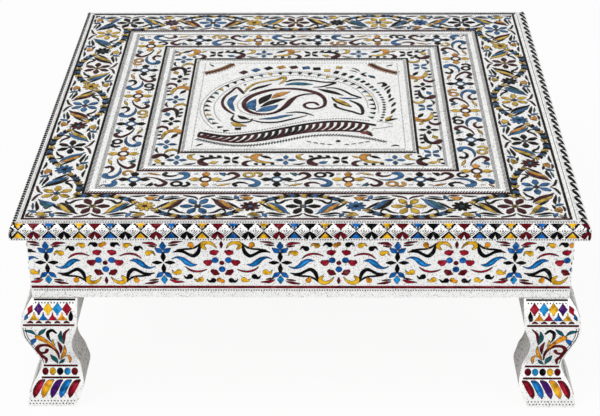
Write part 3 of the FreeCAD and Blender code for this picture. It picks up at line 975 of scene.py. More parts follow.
# The centre panel, drawn from the middle of the table: u to the right and v to the back.
RIBBON_TOP = [(-74, -51), (-66, -54), (-54, -57), (-40, -54), (-25, -49), (-10, -42), (5, -36),
              (20, -32.4), (35, -32.4), (45, -35), (53, -38.2)]
RIBBON_BOTTOM = [(-75, -57.5), (-61, -63.5), (-48, -66.8), (-35, -65.2), (-20, -60), (-6, -53.5),
                 (8, -49), (20, -47.8), (34, -48), (44, -50), (50.5, -55.5)]
CORD_BELOW = [(-76, -61.5), (-65, -67), (-50, -71.8), (-38, -72), (-25, -69), (-12, -64), (0, -58.5),
              (12, -55.5), (25, -55), (40, -58), (52, -62), (60, -66)]
PEARLS_ABOVE = [(-72, -46.5), (-60, -50.5), (-50, -51.5), (-36, -48.5), (-22, -43), (-8, -36),
                (5, -30.8), (20, -27.8), (36, -27.6), (50, -31)]
PAISLEY = [
    leaf("maroon", (11.6, -3.2, 1.4), (9.0, 0.8, 2.0), (5.0, 1.2, 2.0), (1.2, -2.2, 1.8),
         (2.0, -7.0, 1.8), (6.4, -9.8, 1.8), (12.0, -8.6, 2.0), (15.8, -4.6, 2.0), (16.8, 2.0, 2.0),
         (15.6, 10.0, 2.4), (11.4, 17.4, 3.0), (4.0, 22.8, 3.0), (-5.0, 26.0, 2.6),
         (-14.0, 26.8, 2.4), (-24.0, 24.6, 2.8), (-34.0, 18.6, 3.2), (-41.6, 10.0, 3.2),
         (-44.8, 0.0, 2.6), (-43.0, -10.0, 2.4), (-37.6, -16.8, 2.4), (-30.0, -19.6, 2.4),
         (-22.4, -17.6, 2.2), (-16.6, -11.6, 2.6), (-12.4, -3.6, 3.4), (-9.0, 5.6, 3.2),
         (-5.2, 11.8, 2.0), (0.8, 16.0, 1.8), (8.6, 17.2, 1.0), step=1.3),
    leaf("blue", (-35.6, -13.0, 0.8), (-39.2, -5.6, 5.6), (-38.6, 0.8, 5.0), (-36.2, 7.2, 0.6)),
    leaf("black", (-32.8, -1.4, 0.8), (-30.2, 6.4, 5.4), (-27.0, 12.0, 4.0), (-24.4, 16.6, 0.6)),
    leaf("black", (-31.6, -6.6, 0.8), (-24.6, 1.2, 4.4), (-19.0, 5.6, 3.4), (-13.8, 8.2, 0.6)),
    leaf("blue", (-34.4, -14.6, 1.0), (-28.0, -10.8, 6.2), (-23.0, -7.2, 5.0), (-19.2, -3.2, 0.8)),
    leaf("orange", (-23.8, 9.0, 0.8), (-19.8, 14.2, 4.6), (-15.4, 18.0, 4.0), (-10.6, 20.6, 0.8)),
    leaf("maroon", (-46.0, 18.0, 1.4), (-48.8, 24.6, 2.0), (-51.2, 29.0, 1.6), (-56.0, 20.6, 1.6),
         (-60.2, 11.0, 1.6), (-61.2, 0.0, 1.6), (-57.4, -11.6, 1.8), (-51.6, -19.2, 1.2), step=1.2),
    leaf("blue", (-50.6, 15.0, 0.6), (-54.0, 8.6, 3.4), (-55.4, 1.0, 3.2), (-53.6, -7.4, 2.6),
         (-51.4, -14.0, 0.5)),
    leaf("yellow", (-45.0, 21.0, 0.8), (-42.6, 29.0, 1.8), (-37.0, 37.0, 1.8), (-29.4, 41.4, 1.6),
         (-20.6, 44.4, 2.2), (-15.2, 48.6, 2.6), (-14.6, 45.0, 2.0), (-16.4, 39.6, 1.8),
         (-18.8, 35.4, 0.6), step=1.2),
    leaf("black", (-41.4, 21.8, 0.6), (-36.4, 27.6, 2.4), (-30.6, 31.4, 2.4), (-25.2, 35.6, 0.6)),
    leaf("black", (-13.6, 39.6, 1.0), (-9.6, 42.6, 2.0), (-2.0, 43.6, 1.8), (7.0, 42.0, 1.8),
         (15.6, 39.0, 1.6), (24.4, 37.8, 2.2), (19.6, 33.4, 1.8), (14.4, 30.4, 1.4),
         (7.6, 29.4, 0.5), step=1.2),
    leaf("azure", (-14.2, 33.6, 0.6), (-7.6, 36.0, 3.8), (-1.0, 35.8, 4.2), (7.0, 34.6, 0.6)),
    leaf("black", (17.6, 28.4, 0.6), (24.6, 27.6, 1.4), (31.0, 23.0, 1.6), (36.6, 16.0, 1.6),
         (43.6, 10.0, 1.8)),
    leaf("black", (11.4, 26.2, 0.6), (17.6, 22.6, 3.4), (24.0, 19.0, 3.2), (30.4, 14.2, 0.6)),
    leaf("blue", (27.6, 9.6, 0.6), (33.0, 8.6, 1.8), (41.4, 8.6, 0.8)),
    leaf("black", (22.0, 10.4, 0.8), (24.0, 5.0, 1.4), (29.6, -1.8, 1.4), (36.0, -6.6, 0.6)),
    leaf("black", (24.0, -1.6, 1.8), (25.2, -6.6, 1.8), (30.0, -10.8, 1.6), (37.0, -15.0, 1.8),
         (44.0, -19.6, 1.6), (44.8, -11.0, 2.0), (42.0, -2.0, 2.2), (36.0, 4.6, 1.2), step=1.2),
    leaf("yellow", (23.4, 8.4, 0.8), (28.0, 3.4, 3.6), (32.6, -2.0, 3.0), (36.6, -6.4, 0.6)),
    leaf("black", (-12.0, -17.4, 0.6), (-5.0, -15.8, 1.6), (1.6, -17.4, 1.6), (8.0, -21.8, 0.6)),
    leaf("black", (-38.4, -28.6, 0.6), (-31.6, -32.8, 1.4), (-19.6, -33.4, 1.6), (-9.0, -28.6, 1.6),
         (2.6, -22.2, 0.6), step=1.2),
    leaf("blue", (-32.0, -28.0, 0.7), (-20.6, -26.0, 3.0), (-13.0, -22.4, 2.6), (-7.6, -20.8, 0.7)),
    leaf("black", (-51.6, -21.8, 0.8), (-52.4, -28.6, 1.6), (-46.8, -33.8, 1.6), (-38.2, -31.2, 1.2),
         (-37.4, -27.4, 0.6)),
    leaf("black", (-48.2, -22.0, 0.8), (-44.4, -25.8, 3.6), (-39.8, -28.6, 0.8)),
    leaf("yellow", (-52.4, -34.0, 1.0), (-48.4, -37.6, 4.4), (-42.0, -39.4, 1.2)),
    slab("black", (-49.4, -44.4, 3.0), (-45.0, -44.4, 3.0)),
    dot("maroon", -45.4, 34.0, 0.9),
]
# Round the lower left of the paisley runs a row of dots
PAISLEY_HALO = [(-36.0, 15.0), (-41.6, 7.0), (-43.6, 0.0), (-42.4, -8.0), (-37.6, -14.6),
                (-30.0, -17.6), (-22.4, -16.0), (-15.6, -10.0)]
# Squares of the outer arc, as place and colour, and its dots after them
ARC_SQUARES = [
    (-47.8, 58.0, "maroon"), (-38.2, 62.4, "blue"), (-28.4, 66.0, "black"), (-18.2, 68.0, "orange"),
    (-8.2, 68.0, "maroon"), (1.6, 67.0, "blue"), (10.2, 65.0, "black"), (18.4, 61.6, "yellow"),
    (28.0, 67.4, "yellow"),
]
ARC_DOTS = [(25.6, 57.8), (31.8, 54.0), (37.4, 49.2), (42.2, 44.4), (46.2, 39.8), (49.8, 34.8),
            (52.6, 29.6), (55.0, 24.6), (57.2, 19.8), (58.8, 15.0), (60.0, 10.4), (60.8, 6.0),
            (61.2, 1.6), (61.4, -2.8), (61.4, -7.2), (61.2, -11.6), (60.8, -16.0), (60.2, -20.6),
            (59.4, -25.2), (58.2, -30.0)]
INNER_ARC = [(-56.0, -47.6), (-60.6, -41.6), (-64.8, -35.0), (-68.0, -28.0), (-70.4, -20.4),
             (-71.8, -12.6), (-72.2, -4.6), (-71.4, 3.2), (-69.4, 10.8), (-66.8, 18.2),
             (-63.4, 25.2), (-59.0, 31.8), (-53.6, 38.0), (-47.6, 43.6), (-40.8, 48.2),
             (-33.6, 51.6), (-26.2, 54.2), (-18.6, 55.8), (-10.8, 56.4), (-3.2, 56.0), (4.6, 54.6),
             (12.0, 52.0), (19.0, 48.8), (26.0, 45.2), (32.4, 40.8), (38.2, 35.0), (43.2, 28.4),
             (47.2, 21.0), (50.0, 13.4), (51.6, 5.8), (52.6, -2.0), (53.0, -9.6), (52.6, -17.4),
             (51.0, -25.0)]
INNER_ARC_TONES = ("black", "black", "black", "teal", "yellow", "black")
SIDE_STROKES = [
    leaf("black", (49.0, 57.0, 0.8), (46.2, 54.6, 1.8), (48.6, 50.6, 1.2)),
    leaf("teal", (51.0, 51.6, 0.8), (54.0, 49.0, 3.0), (55.6, 46.8, 0.8)),
    leaf("black", (57.8, 36.4, 0.8), (61.6, 37.6, 1.6), (63.2, 33.4, 2.6), (61.0, 30.6, 1.0)),
    leaf("black", (66.6, 31.4, 0.8), (64.4, 28.0, 1.3), (62.8, 25.0, 0.6)),
    leaf("black", (66.8, 26.0, 0.6), (65.4, 21.4, 1.9), (64.8, 17.6, 0.6)),
    leaf("black", (66.6, 16.4, 0.6), (66.2, 13.0, 1.5), (65.8, 9.6, 0.6)),
    leaf("black", (69.0, 9.0, 0.8), (67.0, 6.0, 1.5), (65.2, 3.2, 0.6)),
    leaf("black", (70.0, 1.0, 0.8), (68.6, -2.4, 1.7), (67.0, -6.0, 0.6)),
    leaf("black", (69.4, -10.0, 0.8), (67.8, -14.0, 1.8), (66.2, -18.4, 0.6)),
    leaf("yellow", (66.8, -22.4, 0.6), (63.0, -28.4, 2.2), (61.8, -31.6, 0.6)),
    leaf("black", (62.0, -32.0, 0.6), (66.0, -29.0, 2.0), (70.0, -27.2, 0.6)),
    leaf("black", (38.4, 66.2, 0.5), (41.4, 64.0, 1.1), (44.0, 60.0, 0.5)),
    leaf("black", (36.6, 61.0, 0.4), (39.6, 60.4, 0.9), (42.0, 58.0, 0.4)),
]
FEATHER_SPINE = [(-77.0, 56.8), (-69.5, 61.0), (-63.0, 66.6), (-57.2, 74.0)]
CORNER_CHECKS = [
    leaf("black", (-75.4, 73.6, 0.5), (-73.4, 71.6, 1.2), (-72.4, 69.8, 0.5)),
    leaf("black", (-75.8, -72.8, 0.5), (-73.6, -70.8, 1.3), (-71.4, -69.4, 0.5)),
    leaf("black", (64.4, -73.0, 0.5), (67.6, -71.6, 1.3), (69.6, -72.8, 0.5)),
    leaf("black", (66.0, 70.6, 0.5), (68.4, 71.4, 1.2), (70.4, 72.8, 0.5)),
]
BARB = both(leaf("orange", (0, 1.0, 1.5), (-0.8, 2.2, 1.5), (-2.0, 3.2, 0.6)), across=True)
DASH = [leaf("black", (-1.5, 0, 0.6), (0, 0, 1.3), (1.5, 0, 0.6), step=0.8)]
# A row of dashes hangs under the ribbon, even on both sides of its middle. Each is its reach
# from there, its v and its angle.
DASH_MIDDLE = 26.2
DASH_PLACES = ((21.0, -66.0, -22), (16.2, -67.8, -20), (11.2, -69.4, -16), (6.2, -70.4, -6))
TICK = [leaf("tick", (-0.7, -1.6, 0.6), (0, 0, 1.1), (0.7, 1.6, 0.6), step=0.8)]
TICK_COUNT = 66
# Plain sunk lines: their knots, width and step
SUNK_LINES = (
    (((51.5, -45.0), (60.0, -42.6), (67.0, -40.0)), 0.7, 1.6),
    (((55.0, -31.6), (61.0, -33.6), (66.5, -36.6)), 0.7, 1.6),
    (CORD_BELOW, 0.8, 1.6),
    ([(u * 1.035, v * 1.03 - 0.4) for u, v in INNER_ARC[2:-2]], 0.8, 2.0),
)
# Beaded lines: their knots, radius and spacing of the beads, and width of the dark line
BEADED_LINES = (
    (PEARLS_ABOVE, 0.6, 2.0, 1.3),
    ([(u * 1.075, v * 1.07) for u, v in INNER_ARC[1:-1]], 0.55, 1.9, 1.0),
    ([(u * 0.93, v * 0.925) for u, v in INNER_ARC[2:-2]], 0.45, 1.8, 0.9),
    ([(u * 1.14, (v - 2) * 1.2 + 2) for u, v in PAISLEY_HALO], 0.5, 1.8, 1.0),
    ([(-79.0, v) for v in (-76.0, -25.0, 25.0, 76.0)], 0.6, 2.3, 0.9),
    ([(74.2, v) for v in (-76.0, -25.0, 25.0, 76.0)], 0.6, 2.3, 0.9),
    ([(u, 76.5) for u in (-76.6, -25.0, 25.0, 72.0)], 0.6, 2.3, 0.9),
)
# The hatched border along the front: its ends, place and width
PANEL_HATCHING = (-79.0, 74.0, -78.2, 2.2)
# Sizes of the outer arc's squares, and how far they are turned from the way out
SQUARE_SIZE = 5.8
YELLOW_SQUARE_SIZE = 4.8
SQUARE_TURN = -76
# The first dots of the outer arc are square. They get smaller one by one, down to a least size.
SQUARE_DOTS = 8
SQUARENESS = 1.7
FIRST_DOT = 2.4
DOT_SHRINKAGE = 0.12
LEAST_DOT = 1.25
# A wedge of the inner arc. The wedges turn about a place left of the middle, and those up to
# the last back one lean by less.
WEDGE = [slab("wedge", (-1.8, 0, 4.2), (2.4, 0, 0.7))]
WEDGE_CENTRE = -8
LAST_BACK_WEDGE = 12
BACK_WEDGE_TURN = 150
WEDGE_TURN = 180
# Spacing of a feather's barbs, as a count, and how far the two feathers are off centre
BARB_COUNT = 11
FEATHER_SHIFT = -4.5
# How much heavier the forms are than drawn
PAISLEY_WEIGHT = 1.4
STROKE_WEIGHT = 1.5
RIBBON_WEIGHT = 1.2
# Places along the ribbon, how far from its start the bars lean over, and how far they bend
RIBBON_PLACES = 26
RIBBON_LEAN = 8
RIBBON_BEND = 0.12


def resampled(places, count):
    """Evenly spaced places and their headings along a smooth line."""
    rows = smooth_line([(u, v, 1.0) for u, v in places], 0.5)[:, :2]
    along = np.concatenate([[0], np.cumsum(np.hypot(*np.diff(rows, axis=0).T))])
    wanted = np.linspace(0, along[-1], count)
    spots = np.column_stack([np.interp(wanted, along, rows[:, axis]) for axis in (0, 1)])
    ahead = np.gradient(spots, axis=0)
    return spots, ahead / np.linalg.norm(ahead, axis=1, keepdims=True)


def heading(way):
    """Angle of a direction, in degrees."""
    return math.degrees(math.atan2(way[1], way[0]))


def ribbon_motifs():
    """The ribbon under the paisley: two borders and slanted bars between them."""
    made = [
        leaf("black", *[(u, v, 2.6) for u, v in RIBBON_TOP], step=1.6),
        leaf("maroon", *[(u, v, 2.0) for u, v in RIBBON_BOTTOM], step=1.6),
        leaf("black", (-74.6, -51.2, 1.8), (-75.2, -54.6, 1.8), (-75.0, -57.6, 1.8)),
        leaf("crimson", (41.6, -49.0, 1.2), (45.6, -51.0, 4.0), (49.6, -53.4, 1.6)),
        leaf("black", (47.0, -47.8, 0.8), (49.6, -51.6, 1.6), (51.0, -56.2, 0.6)),
    ]
    upper = resampled(RIBBON_TOP, RIBBON_PLACES)[0]
    lower = resampled(RIBBON_BOTTOM, RIBBON_PLACES)[0]
    for index in range(1, RIBBON_PLACES - 1):
        end = upper[index]
        lean = min(1.0, index / RIBBON_LEAN)
        start = lower[index - 1] * lean + lower[max(index - 2, 0)] * (1 - lean)
        bend = np.array([end[1] - start[1], start[0] - end[0]]) * RIBBON_BEND
        middle = (start + end) / 2 + bend
        tone = "black" if 7 < index < 17 and index % 4 else "maroon"
        made.append(leaf(tone, (*start, 1.8), (*middle, 2.7), (*end, 2.2), step=1.4))
    return made


def centre_motifs():
    """Every enamelled form of the centre panel."""
    made = heavier(PAISLEY, PAISLEY_WEIGHT) + heavier(ribbon_motifs(), RIBBON_WEIGHT)
    made += heavier(SIDE_STROKES + CORNER_CHECKS, STROKE_WEIGHT)
    for u, v, tone in ARC_SQUARES:
        size = YELLOW_SQUARE_SIZE if tone == "yellow" else SQUARE_SIZE
        form = [long_line(tone, -size / 2, size / 2, 0, size)]
        made += moved(form, u, v, angle=heading((u, v)) + SQUARE_TURN)
    for index, (u, v) in enumerate(ARC_DOTS):
        size = max(LEAST_DOT, FIRST_DOT - DOT_SHRINKAGE * index)
        form = [long_line("black" if index % 4 != 3 else "teal", -size, size, 0, SQUARENESS * size)]
        square = moved(form, u, v, angle=heading((u, v)))
        made += square if index < SQUARE_DOTS else [dot("black", u, v, size)]
    for index, (u, v) in enumerate(INNER_ARC):
        turn = WEDGE_TURN if index > LAST_BACK_WEDGE else BACK_WEDGE_TURN
        angle = heading((u - WEDGE_CENTRE, v)) + turn
        made += moved(WEDGE, u, v, angle=angle, paint={"wedge": INNER_ARC_TONES[index % 6]})
    feather = [leaf("maroon", *[(u, v, 3.0) for u, v in FEATHER_SPINE], step=1.6)]
    for spot, way in zip(*resampled(FEATHER_SPINE, BARB_COUNT)):
        feather += moved(BARB, *spot, angle=heading(way))
    return made + feather + moved(feather, FEATHER_SHIFT, 0, flip_u=True)


def beaded(places, radius, gap, darkness):
    """Beads along a smooth line, on a dark line."""
    line = sunk_line(places, darkness)
    reach = np.hypot(*np.diff(line[1][:, :2], axis=0).T).sum()
    spots = resampled(places, max(2, int(reach / gap)))[0]
    return [line] + [dot("metal", u, v, radius) for u, v in spots]


def centre_metal(sizes):
    """Plain raised work of the centre panel: dotted borders, cords and fine arcs."""
    made = [sunk_line(*line) for line in SUNK_LINES]
    for line in BEADED_LINES:
        made += beaded(*line)
    for index, (spot, way) in enumerate(zip(*resampled(CORD_BELOW, TICK_COUNT))):
        made += moved(TICK, *spot, angle=heading(way), paint={"tick": "black" if index % 2 else "teal"})
    made += hatching(sizes, *PANEL_HATCHING)
    made.append(dot("black", DASH_MIDDLE, -65.0, 1.8))
    for reach, v, turn in DASH_PLACES:
        made += moved(DASH, DASH_MIDDLE - reach, v, angle=turn)
        made += moved(DASH, DASH_MIDDLE + reach, v, angle=-turn)
    return made


# The apron, drawn from the middle of a star: u along and v up. A half set runs from a star
# to a rosette, and every second one is flipped up and down.
APRON_HALF_STEP = 38.95
APRON_STAR_PLACE = -13.0
APRON_MIDDLE = -33.3
APRON_LINE = -52.3
APRON_BEADS = -54.8
STAR = [
    leaf("black", (0, 1.2, 0.8), (0, 4.4, 3.5), (0, 6.4, 2.2)),
    leaf("black", (0, -1.3, 0.8), (0, -4.7, 3.3), (0, -6.8, 2.0)),
    leaf("blue", (0, 10.0, 1.4), (0, 12.6, 4.6), (0, 15.2, 1.6)),
    leaf("azure", (0, -10.8, 1.4), (0, -13.3, 4.6), (0, -15.6, 1.6)),
    *both(
        leaf("black", (1.2, 0, 0.8), (4.6, 0, 3.0), (7.0, 0, 1.2)),
        leaf("blue", (0.8, 8.0, 1.6), (2.7, 9.2, 3.9), (4.8, 10.8, 1.2)),
        leaf("blue", (0.9, -8.0, 1.6), (2.7, -9.4, 3.8), (4.8, -11.2, 1.2)),
    ),
]
APRON_HALF = [
    leaf("crimson", (3.8, 13.2, 0.5), (6.8, 14.6, 2.3), (10.2, 15.0, 1.6), (13.4, 15.1, 0.4)),
    leaf("maroon", (4.4, 12.1, 0.5), (6.9, 12.5, 1.4), (9.8, 13.0, 0.4)),
    leaf("maroon", (3.9, -13.3, 0.5), (7.0, -13.5, 1.4), (10.2, -13.9, 0.4)),
    leaf("maroon", (4.0, -14.7, 0.5), (7.4, -15.6, 1.9), (13.2, -16.4, 0.4)),
    *comma("yellow", (5.4, 5.5), (7.0, 8.2), (9.9, 7.3), 2.1),
    *comma("black", (13.2, 10.0), (14.9, 12.0), (17.4, 10.8), 2.0),
    *comma("yellow", (20.2, 12.6), (22.0, 14.2), (24.5, 13.2), 2.0),
    *comma("black", (28.5, 12.8), (30.2, 14.7), (33.0, 13.8), 1.9),
    dot("orange", 36.9, 13.4, 1.8, 1.8),
    dot("orange", 39.0, 14.5, 1.6, 1.5),
    leaf("crimson", (14.5, 3.2, 0.4), (17.4, 5.6, 1.4), (21.8, 6.9, 1.5), (25.8, 6.4, 1.2),
         (28.8, 5.2, 0.4)),
    *streaked(leaf("blue", (5.5, -2.8, 0.4), (9.0, -4.1, 1.4), (12.5, -2.9, 3.0), (15.6, -0.2, 4.0),
                   (18.7, 1.7, 2.8), (22.4, 1.5, 0.4)), "azure", 0.52),
    leaf("black", (6.6, -8.0, 0.4), (10.2, -8.9, 1.8), (13.6, -8.4, 2.1), (17.0, -6.4, 2.0),
         (20.0, -5.2, 2.6), (23.0, -7.4, 2.8), (24.4, -11.2, 2.0), (25.0, -15.2, 0.4)),
    leaf("black", (9.6, -9.7, 1.0), (15.0, -10.4, 1.4), (19.2, -10.8, 1.2), (22.4, -12.2, 1.4),
         (24.8, -14.6, 0.4)),
    *comma("orange", (20.8, -10.9), (19.8, -11.7), (18.6, -13.8), 2.0),
    leaf("yellow", (28.2, -10.7, 1.6), (26.4, -12.6, 2.9), (27.3, -14.9, 3.3), (30.4, -15.6, 2.7),
         (33.4, -14.1, 1.8), (35.8, -11.1, 0.4)),
    leaf("maroon", (38.95, -11.2, 0.5), (38.95, -14.4, 2.4), (38.95, -16.0, 0.9)),
]
ROSETTE = [
    dot("maroon", 0, -0.2, 1.7),
    dot("blue", 0.1, -5.1, 2.3),
    *both(
        dot("blue", 4.4, 1.9, 2.3),
        leaf("crimson", (3.0, 8.5, 2.2), (4.6, 7.8, 4.8), (6.2, 7.8, 3.6)),
        leaf("crimson", (10.6, 0.3, 3.4), (9.2, -0.2, 5.4), (7.8, 0.6, 3.2)),
        leaf("maroon", (2.7, -8.6, 1.8), (4.4, -7.9, 4.8), (6.2, -6.7, 3.2)),
    ),
]
# Forms that reach past this lie in the middle of a rosette, and aren't mirrored
ROSETTE_REACH = 38


def apron_motifs(reach):
    """Stars, rosettes and the leaves between them, from one end to the other."""
    halves = [motif for motif in APRON_HALF if motif[1][:, 0].max() < ROSETTE_REACH]
    made = []
    steps = int(reach / APRON_HALF_STEP / 2) + 2
    for index in range(-steps, steps + 1):
        star_place = APRON_STAR_PLACE + 2 * index * APRON_HALF_STEP
        flipped = index % 2 != 0
        made += moved(STAR, star_place, APRON_MIDDLE)
        made += moved(ROSETTE, star_place + APRON_HALF_STEP, APRON_MIDDLE)
        made += moved(APRON_HALF, star_place, APRON_MIDDLE, flip_v=flipped)
        made += moved(halves, star_place, APRON_MIDDLE, flip_u=True, flip_v=not flipped)
    return made


# How far the painted lines lie inside a strip's edge, and the sides whose outer band
# carries the line that the back has on the edge strip
LINE_INSET = 1.0
LINED_BANDS = ("front", "left", "right")
# The side whose innermost line lies on the centre panel
LINED_PANEL = "front"

# The zigzag of the edge strips, drawn along the strip: u along, and s from the start of
# the bend down over the nose. It is shifted across the edge by its making: in on the right,
# and out on the other two sides.
NOSE_STEP = 10.05
NOSE_TONES = ("maroon", "blue", "black", "yellow")
NOSE_PHASE = -174.0
NOSE_SHIFTS = {"front": 0.0, "right": -0.7, "back": 3.8, "left": 1.4}
CORNER_MARKS = [
    leaf("black", (186.2, -0.6, 0.7), (187.6, 1.6, 1.8), (189.6, 3.4, 0.8)),
    leaf("black", (189.4, 4.2, 0.8), (187.2, 6.2, 1.6), (188.8, 8.4, 0.8)),
    leaf("black", (188.9, 8.8, 1.0), (189.3, 11.0, 1.8), (188.6, 12.6, 0.9)),
    leaf("dark", (183.6, 1.4, 0.5), (185.4, 3.8, 1.0), (184.0, 6.4, 0.5)),
    leaf("dark", (185.6, 8.0, 0.5), (184.2, 9.6, 0.9), (185.8, 11.8, 0.5)),
]
# The zigzag's triangles in these tones are plain, and the others have black outlines
PLAIN_TRIANGLES = ("maroon", "black")
UPPER_PLAIN = [slab("nose", (0, 1.2, 9.4), (0, 3.6, 5.2), (0, 6.2, 0.6))]
UPPER_LINED = [
    *both(slab("black", (-4.2, 1.3, 1.6), (-2.2, 3.7, 1.6), (-0.1, 6.2, 0.8))),
    slab("nose", (0, 1.1, 6.6), (0, 2.8, 3.9), (0, 5.0, 0.8)),
]
LOWER_PLAIN = both(slab("nose", (-3.1, 12.2, 3.8), (-1.6, 9.8, 3.2), (-0.1, 7.4, 0.7)))
LOWER_LINED = [
    *both(slab("black", (-4.3, 12.2, 1.4), (-2.1, 9.8, 1.2), (-0.1, 7.4, 0.7))),
    slab("nose", (0, 12.2, 6.8), (0, 10.4, 4.2), (0, 8.6, 1.0)),
]
# Fine diamonds between the triangles. Each is its reach along the strip and its upper and
# lower corners.
DIAMOND_PLACE = 5.0
DIAMOND_MIDDLE = 6.8
DIAMOND_WIDTH = 0.55
DIAMONDS = ((3.42, 3.2, 10.4), (1.9, 4.8, 8.8))
# What the upper row holds on the left and right
NOSE_STROKES = {
    "right": [
        leaf("black", (4.6, -0.8, 0.7), (1.4, 0.6, 2.8), (-1.8, 2.4, 3.0), (-4.6, 4.2, 1.0)),
        leaf("black", (4.4, -0.4, 0.7), (5.2, 1.6, 1.6), (5.4, 4.2, 0.7)),
    ],
    "left": [
        leaf("black", (u + 2.2, -0.6, 0.6), (u, 1.2, 2.0), (u - 2.2, 3.2, 0.6)) for u in (-3.3, 0.0, 3.4)
    ],
}


def diamond_halves(upper):
    """The upper or the lower halves of the diamonds."""
    made = []
    for reach, high, low in DIAMONDS:
        corner = (0, high if upper else low, DIAMOND_WIDTH)
        made += both(slab("dark", (-reach, DIAMOND_MIDDLE, DIAMOND_WIDTH), corner))
    return moved(made, DIAMOND_PLACE)


def nose_motifs(start, end, side):
    """Two rows of triangles, point to point, with fine diamonds between them. On the left and
    right the upper row is a row of strokes."""
    upper, lower = [], []
    for index, u in numbered(start, end, NOSE_PHASE, NOSE_STEP):
        tone = NOSE_TONES[index % 4]
        plain = tone in PLAIN_TRIANGLES
        above = NOSE_STROKES.get(side)
        if above is None:
            above = (UPPER_PLAIN if plain else UPPER_LINED) + diamond_halves(True)
        below = (LOWER_PLAIN if plain else LOWER_LINED) + diamond_halves(False)
        below.append(dot("dark", DIAMOND_PLACE, DIAMOND_MIDDLE, 0.6))
        upper += moved(above, u, paint={"nose": tone})
        lower += moved(below, u, paint={"nose": tone})
    shift = NOSE_SHIFTS[side]
    if side not in NOSE_STROKES:
        upper += both(*CORNER_MARKS)
        lower = moved(lower, 0, shift)
    return moved(upper, 0, shift) + lower


# The outer faces of the legs, drawn on the right leg of the front: u is the distance
# from the middle of the table and v the depth below the top.
LEG_FACE = [
    *[slab(tone, (u, -63.6, 0.4), (u, -67.2, 6.9), (u, -71.0, 0.4))
      for u, tone in ((157.6, "crimson"), (164.0, "azure"), (170.4, "yellow"))],
    slab("purple", (176.6, -63.8, 0.4), (176.6, -67.2, 6.6), (176.6, -70.8, 0.4)),
    slab("crimson", (181.0, -65.0, 0.4), (182.4, -67.6, 4.0), (184.2, -70.8, 0.4)),
    leaf("black", (154.8, -68.6, 0.6), (154.9, -71.6, 3.2), (155.2, -73.6, 2.6)),
    *[slab(tone, (u, -69.2, 0.4), (u, -74.3, width)) for u, tone, width in (
        (160.8, "orange", 6.9), (167.2, "crimson", 6.9), (173.5, "blue", 6.9), (179.8, "yellow", 6.7),
    )],
    leaf("blue", (184.6, -70.4, 0.6), (185.2, -72.4, 2.4), (186.2, -73.8, 0.8)),
    leaf("maroon", (156.4, -80.6, 0.5), (159.8, -84.4, 1.9), (161.0, -90.0, 1.7), (161.9, -95.2, 0.4)),
    leaf("teal", (162.3, -82.8, 0.8), (163.3, -87.6, 3.2), (162.8, -92.2, 2.4), (162.2, -94.8, 0.5)),
    leaf("black", (165.8, -84.2, 1.4), (168.2, -81.9, 2.2), (171.0, -83.4, 2.4), (171.6, -88.0, 2.0),
         (170.2, -92.8, 0.4)),
    leaf("teal", (172.6, -80.9, 0.8), (175.4, -83.4, 3.0), (178.2, -86.4, 0.8)),
    leaf("teal", (180.0, -85.8, 0.8), (182.6, -83.2, 2.8), (186.4, -82.4, 1.4)),
    leaf("blue", (180.4, -90.0, 1.6), (182.4, -92.2, 3.6), (183.8, -96.2, 0.5)),
    leaf("orange", (166.8, -106.0, 0.5), (169.2, -98.8, 1.8), (172.4, -94.0, 2.8),
         (176.0, -90.4, 4.4), (178.4, -88.2, 4.6)),
    leaf("yellow", (168.8, -90.4, 0.5), (169.2, -93.6, 1.6), (168.0, -97.2, 0.5)),
    leaf("maroon", (167.2, -111.6, 0.6), (167.4, -105.0, 1.9), (169.8, -99.6, 2.4),
         (174.4, -96.6, 2.6), (179.0, -97.6, 2.8), (181.0, -101.6, 3.0), (179.0, -104.9, 2.4),
         (175.4, -104.2, 2.2), (174.2, -101.8, 2.6)),
    leaf("maroon", (180.4, -104.4, 1.8), (178.4, -108.6, 2.6), (176.2, -112.0, 2.4),
         (176.8, -115.2, 0.8)),
    leaf("maroon", (165.8, -92.6, 0.5), (164.6, -98.0, 2.8), (165.4, -105.6, 0.5)),
    leaf("orange", (161.6, -96.6, 0.5), (162.2, -103.0, 2.4), (164.6, -108.8, 2.0),
         (166.2, -112.0, 0.4)),
    leaf("orange", (163.6, -108.2, 0.5), (160.6, -107.8, 1.6), (159.6, -110.8, 2.2),
         (160.0, -114.4, 1.2)),
    leaf("teal", (163.6, -111.6, 0.6), (165.4, -113.8, 2.6), (167.4, -115.4, 0.6)),
    leaf("teal", (168.6, -115.4, 0.6), (170.4, -111.4, 4.0), (172.6, -106.8, 0.5)),
    *[dot(tone, u, -121.0, across, along) for u, tone, across, along in (
        (157.0, "maroon", 2.3, 2.4), (162.1, "azure", 2.2, 2.3), (167.2, "black", 2.3, 2.4),
        (172.3, "yellow", 2.2, 2.4), (177.4, "maroon", 2.2, 2.4),
    )],
    *[leaf(tone, (u - 1.0, -126.6, 1.4), (u + 1.0, -127.8, 3.8), (u + 3.2, -130.6, 4.7),
           (u + 5.0, -134.0, 4.3), (u + 5.8, -136.6, 2.4), (u + 6.0, -137.6, 0.8))
      for u, tone in (
          (154.6, "maroon"), (160.8, "blue"), (167.0, "purple"), (173.2, "orange"), (179.2, "maroon"),
      )],
]
# Lighter streaks along the middle of the petals at the foot: painted highlights
LEG_PETAL_HIGHLIGHTS = [
    leaf(tone + "_streak", (u - 0.6, -127.0, 0.6), (u + 0.7, -128.4, 2.6),
         (u + 2.6, -131.0, share * 4.7), (u + 4.3, -134.0, share * 4.0), (u + 5.2, -136.0, 0.6))
    for u, tone, share in (
        (154.6, "crimson", 0.72), (160.8, "azure", 0.42), (173.2, "yellow", 0.74), (179.2, "crimson", 0.72),
    )
]
# Middle of a leg's face, and how far a form may be pushed in to stay on the face
LEG_CENTRE = 170.0
EDGE_INSETS = (0, 0.3, 0.6, 0.9, 1.2, 1.6, 2.0)
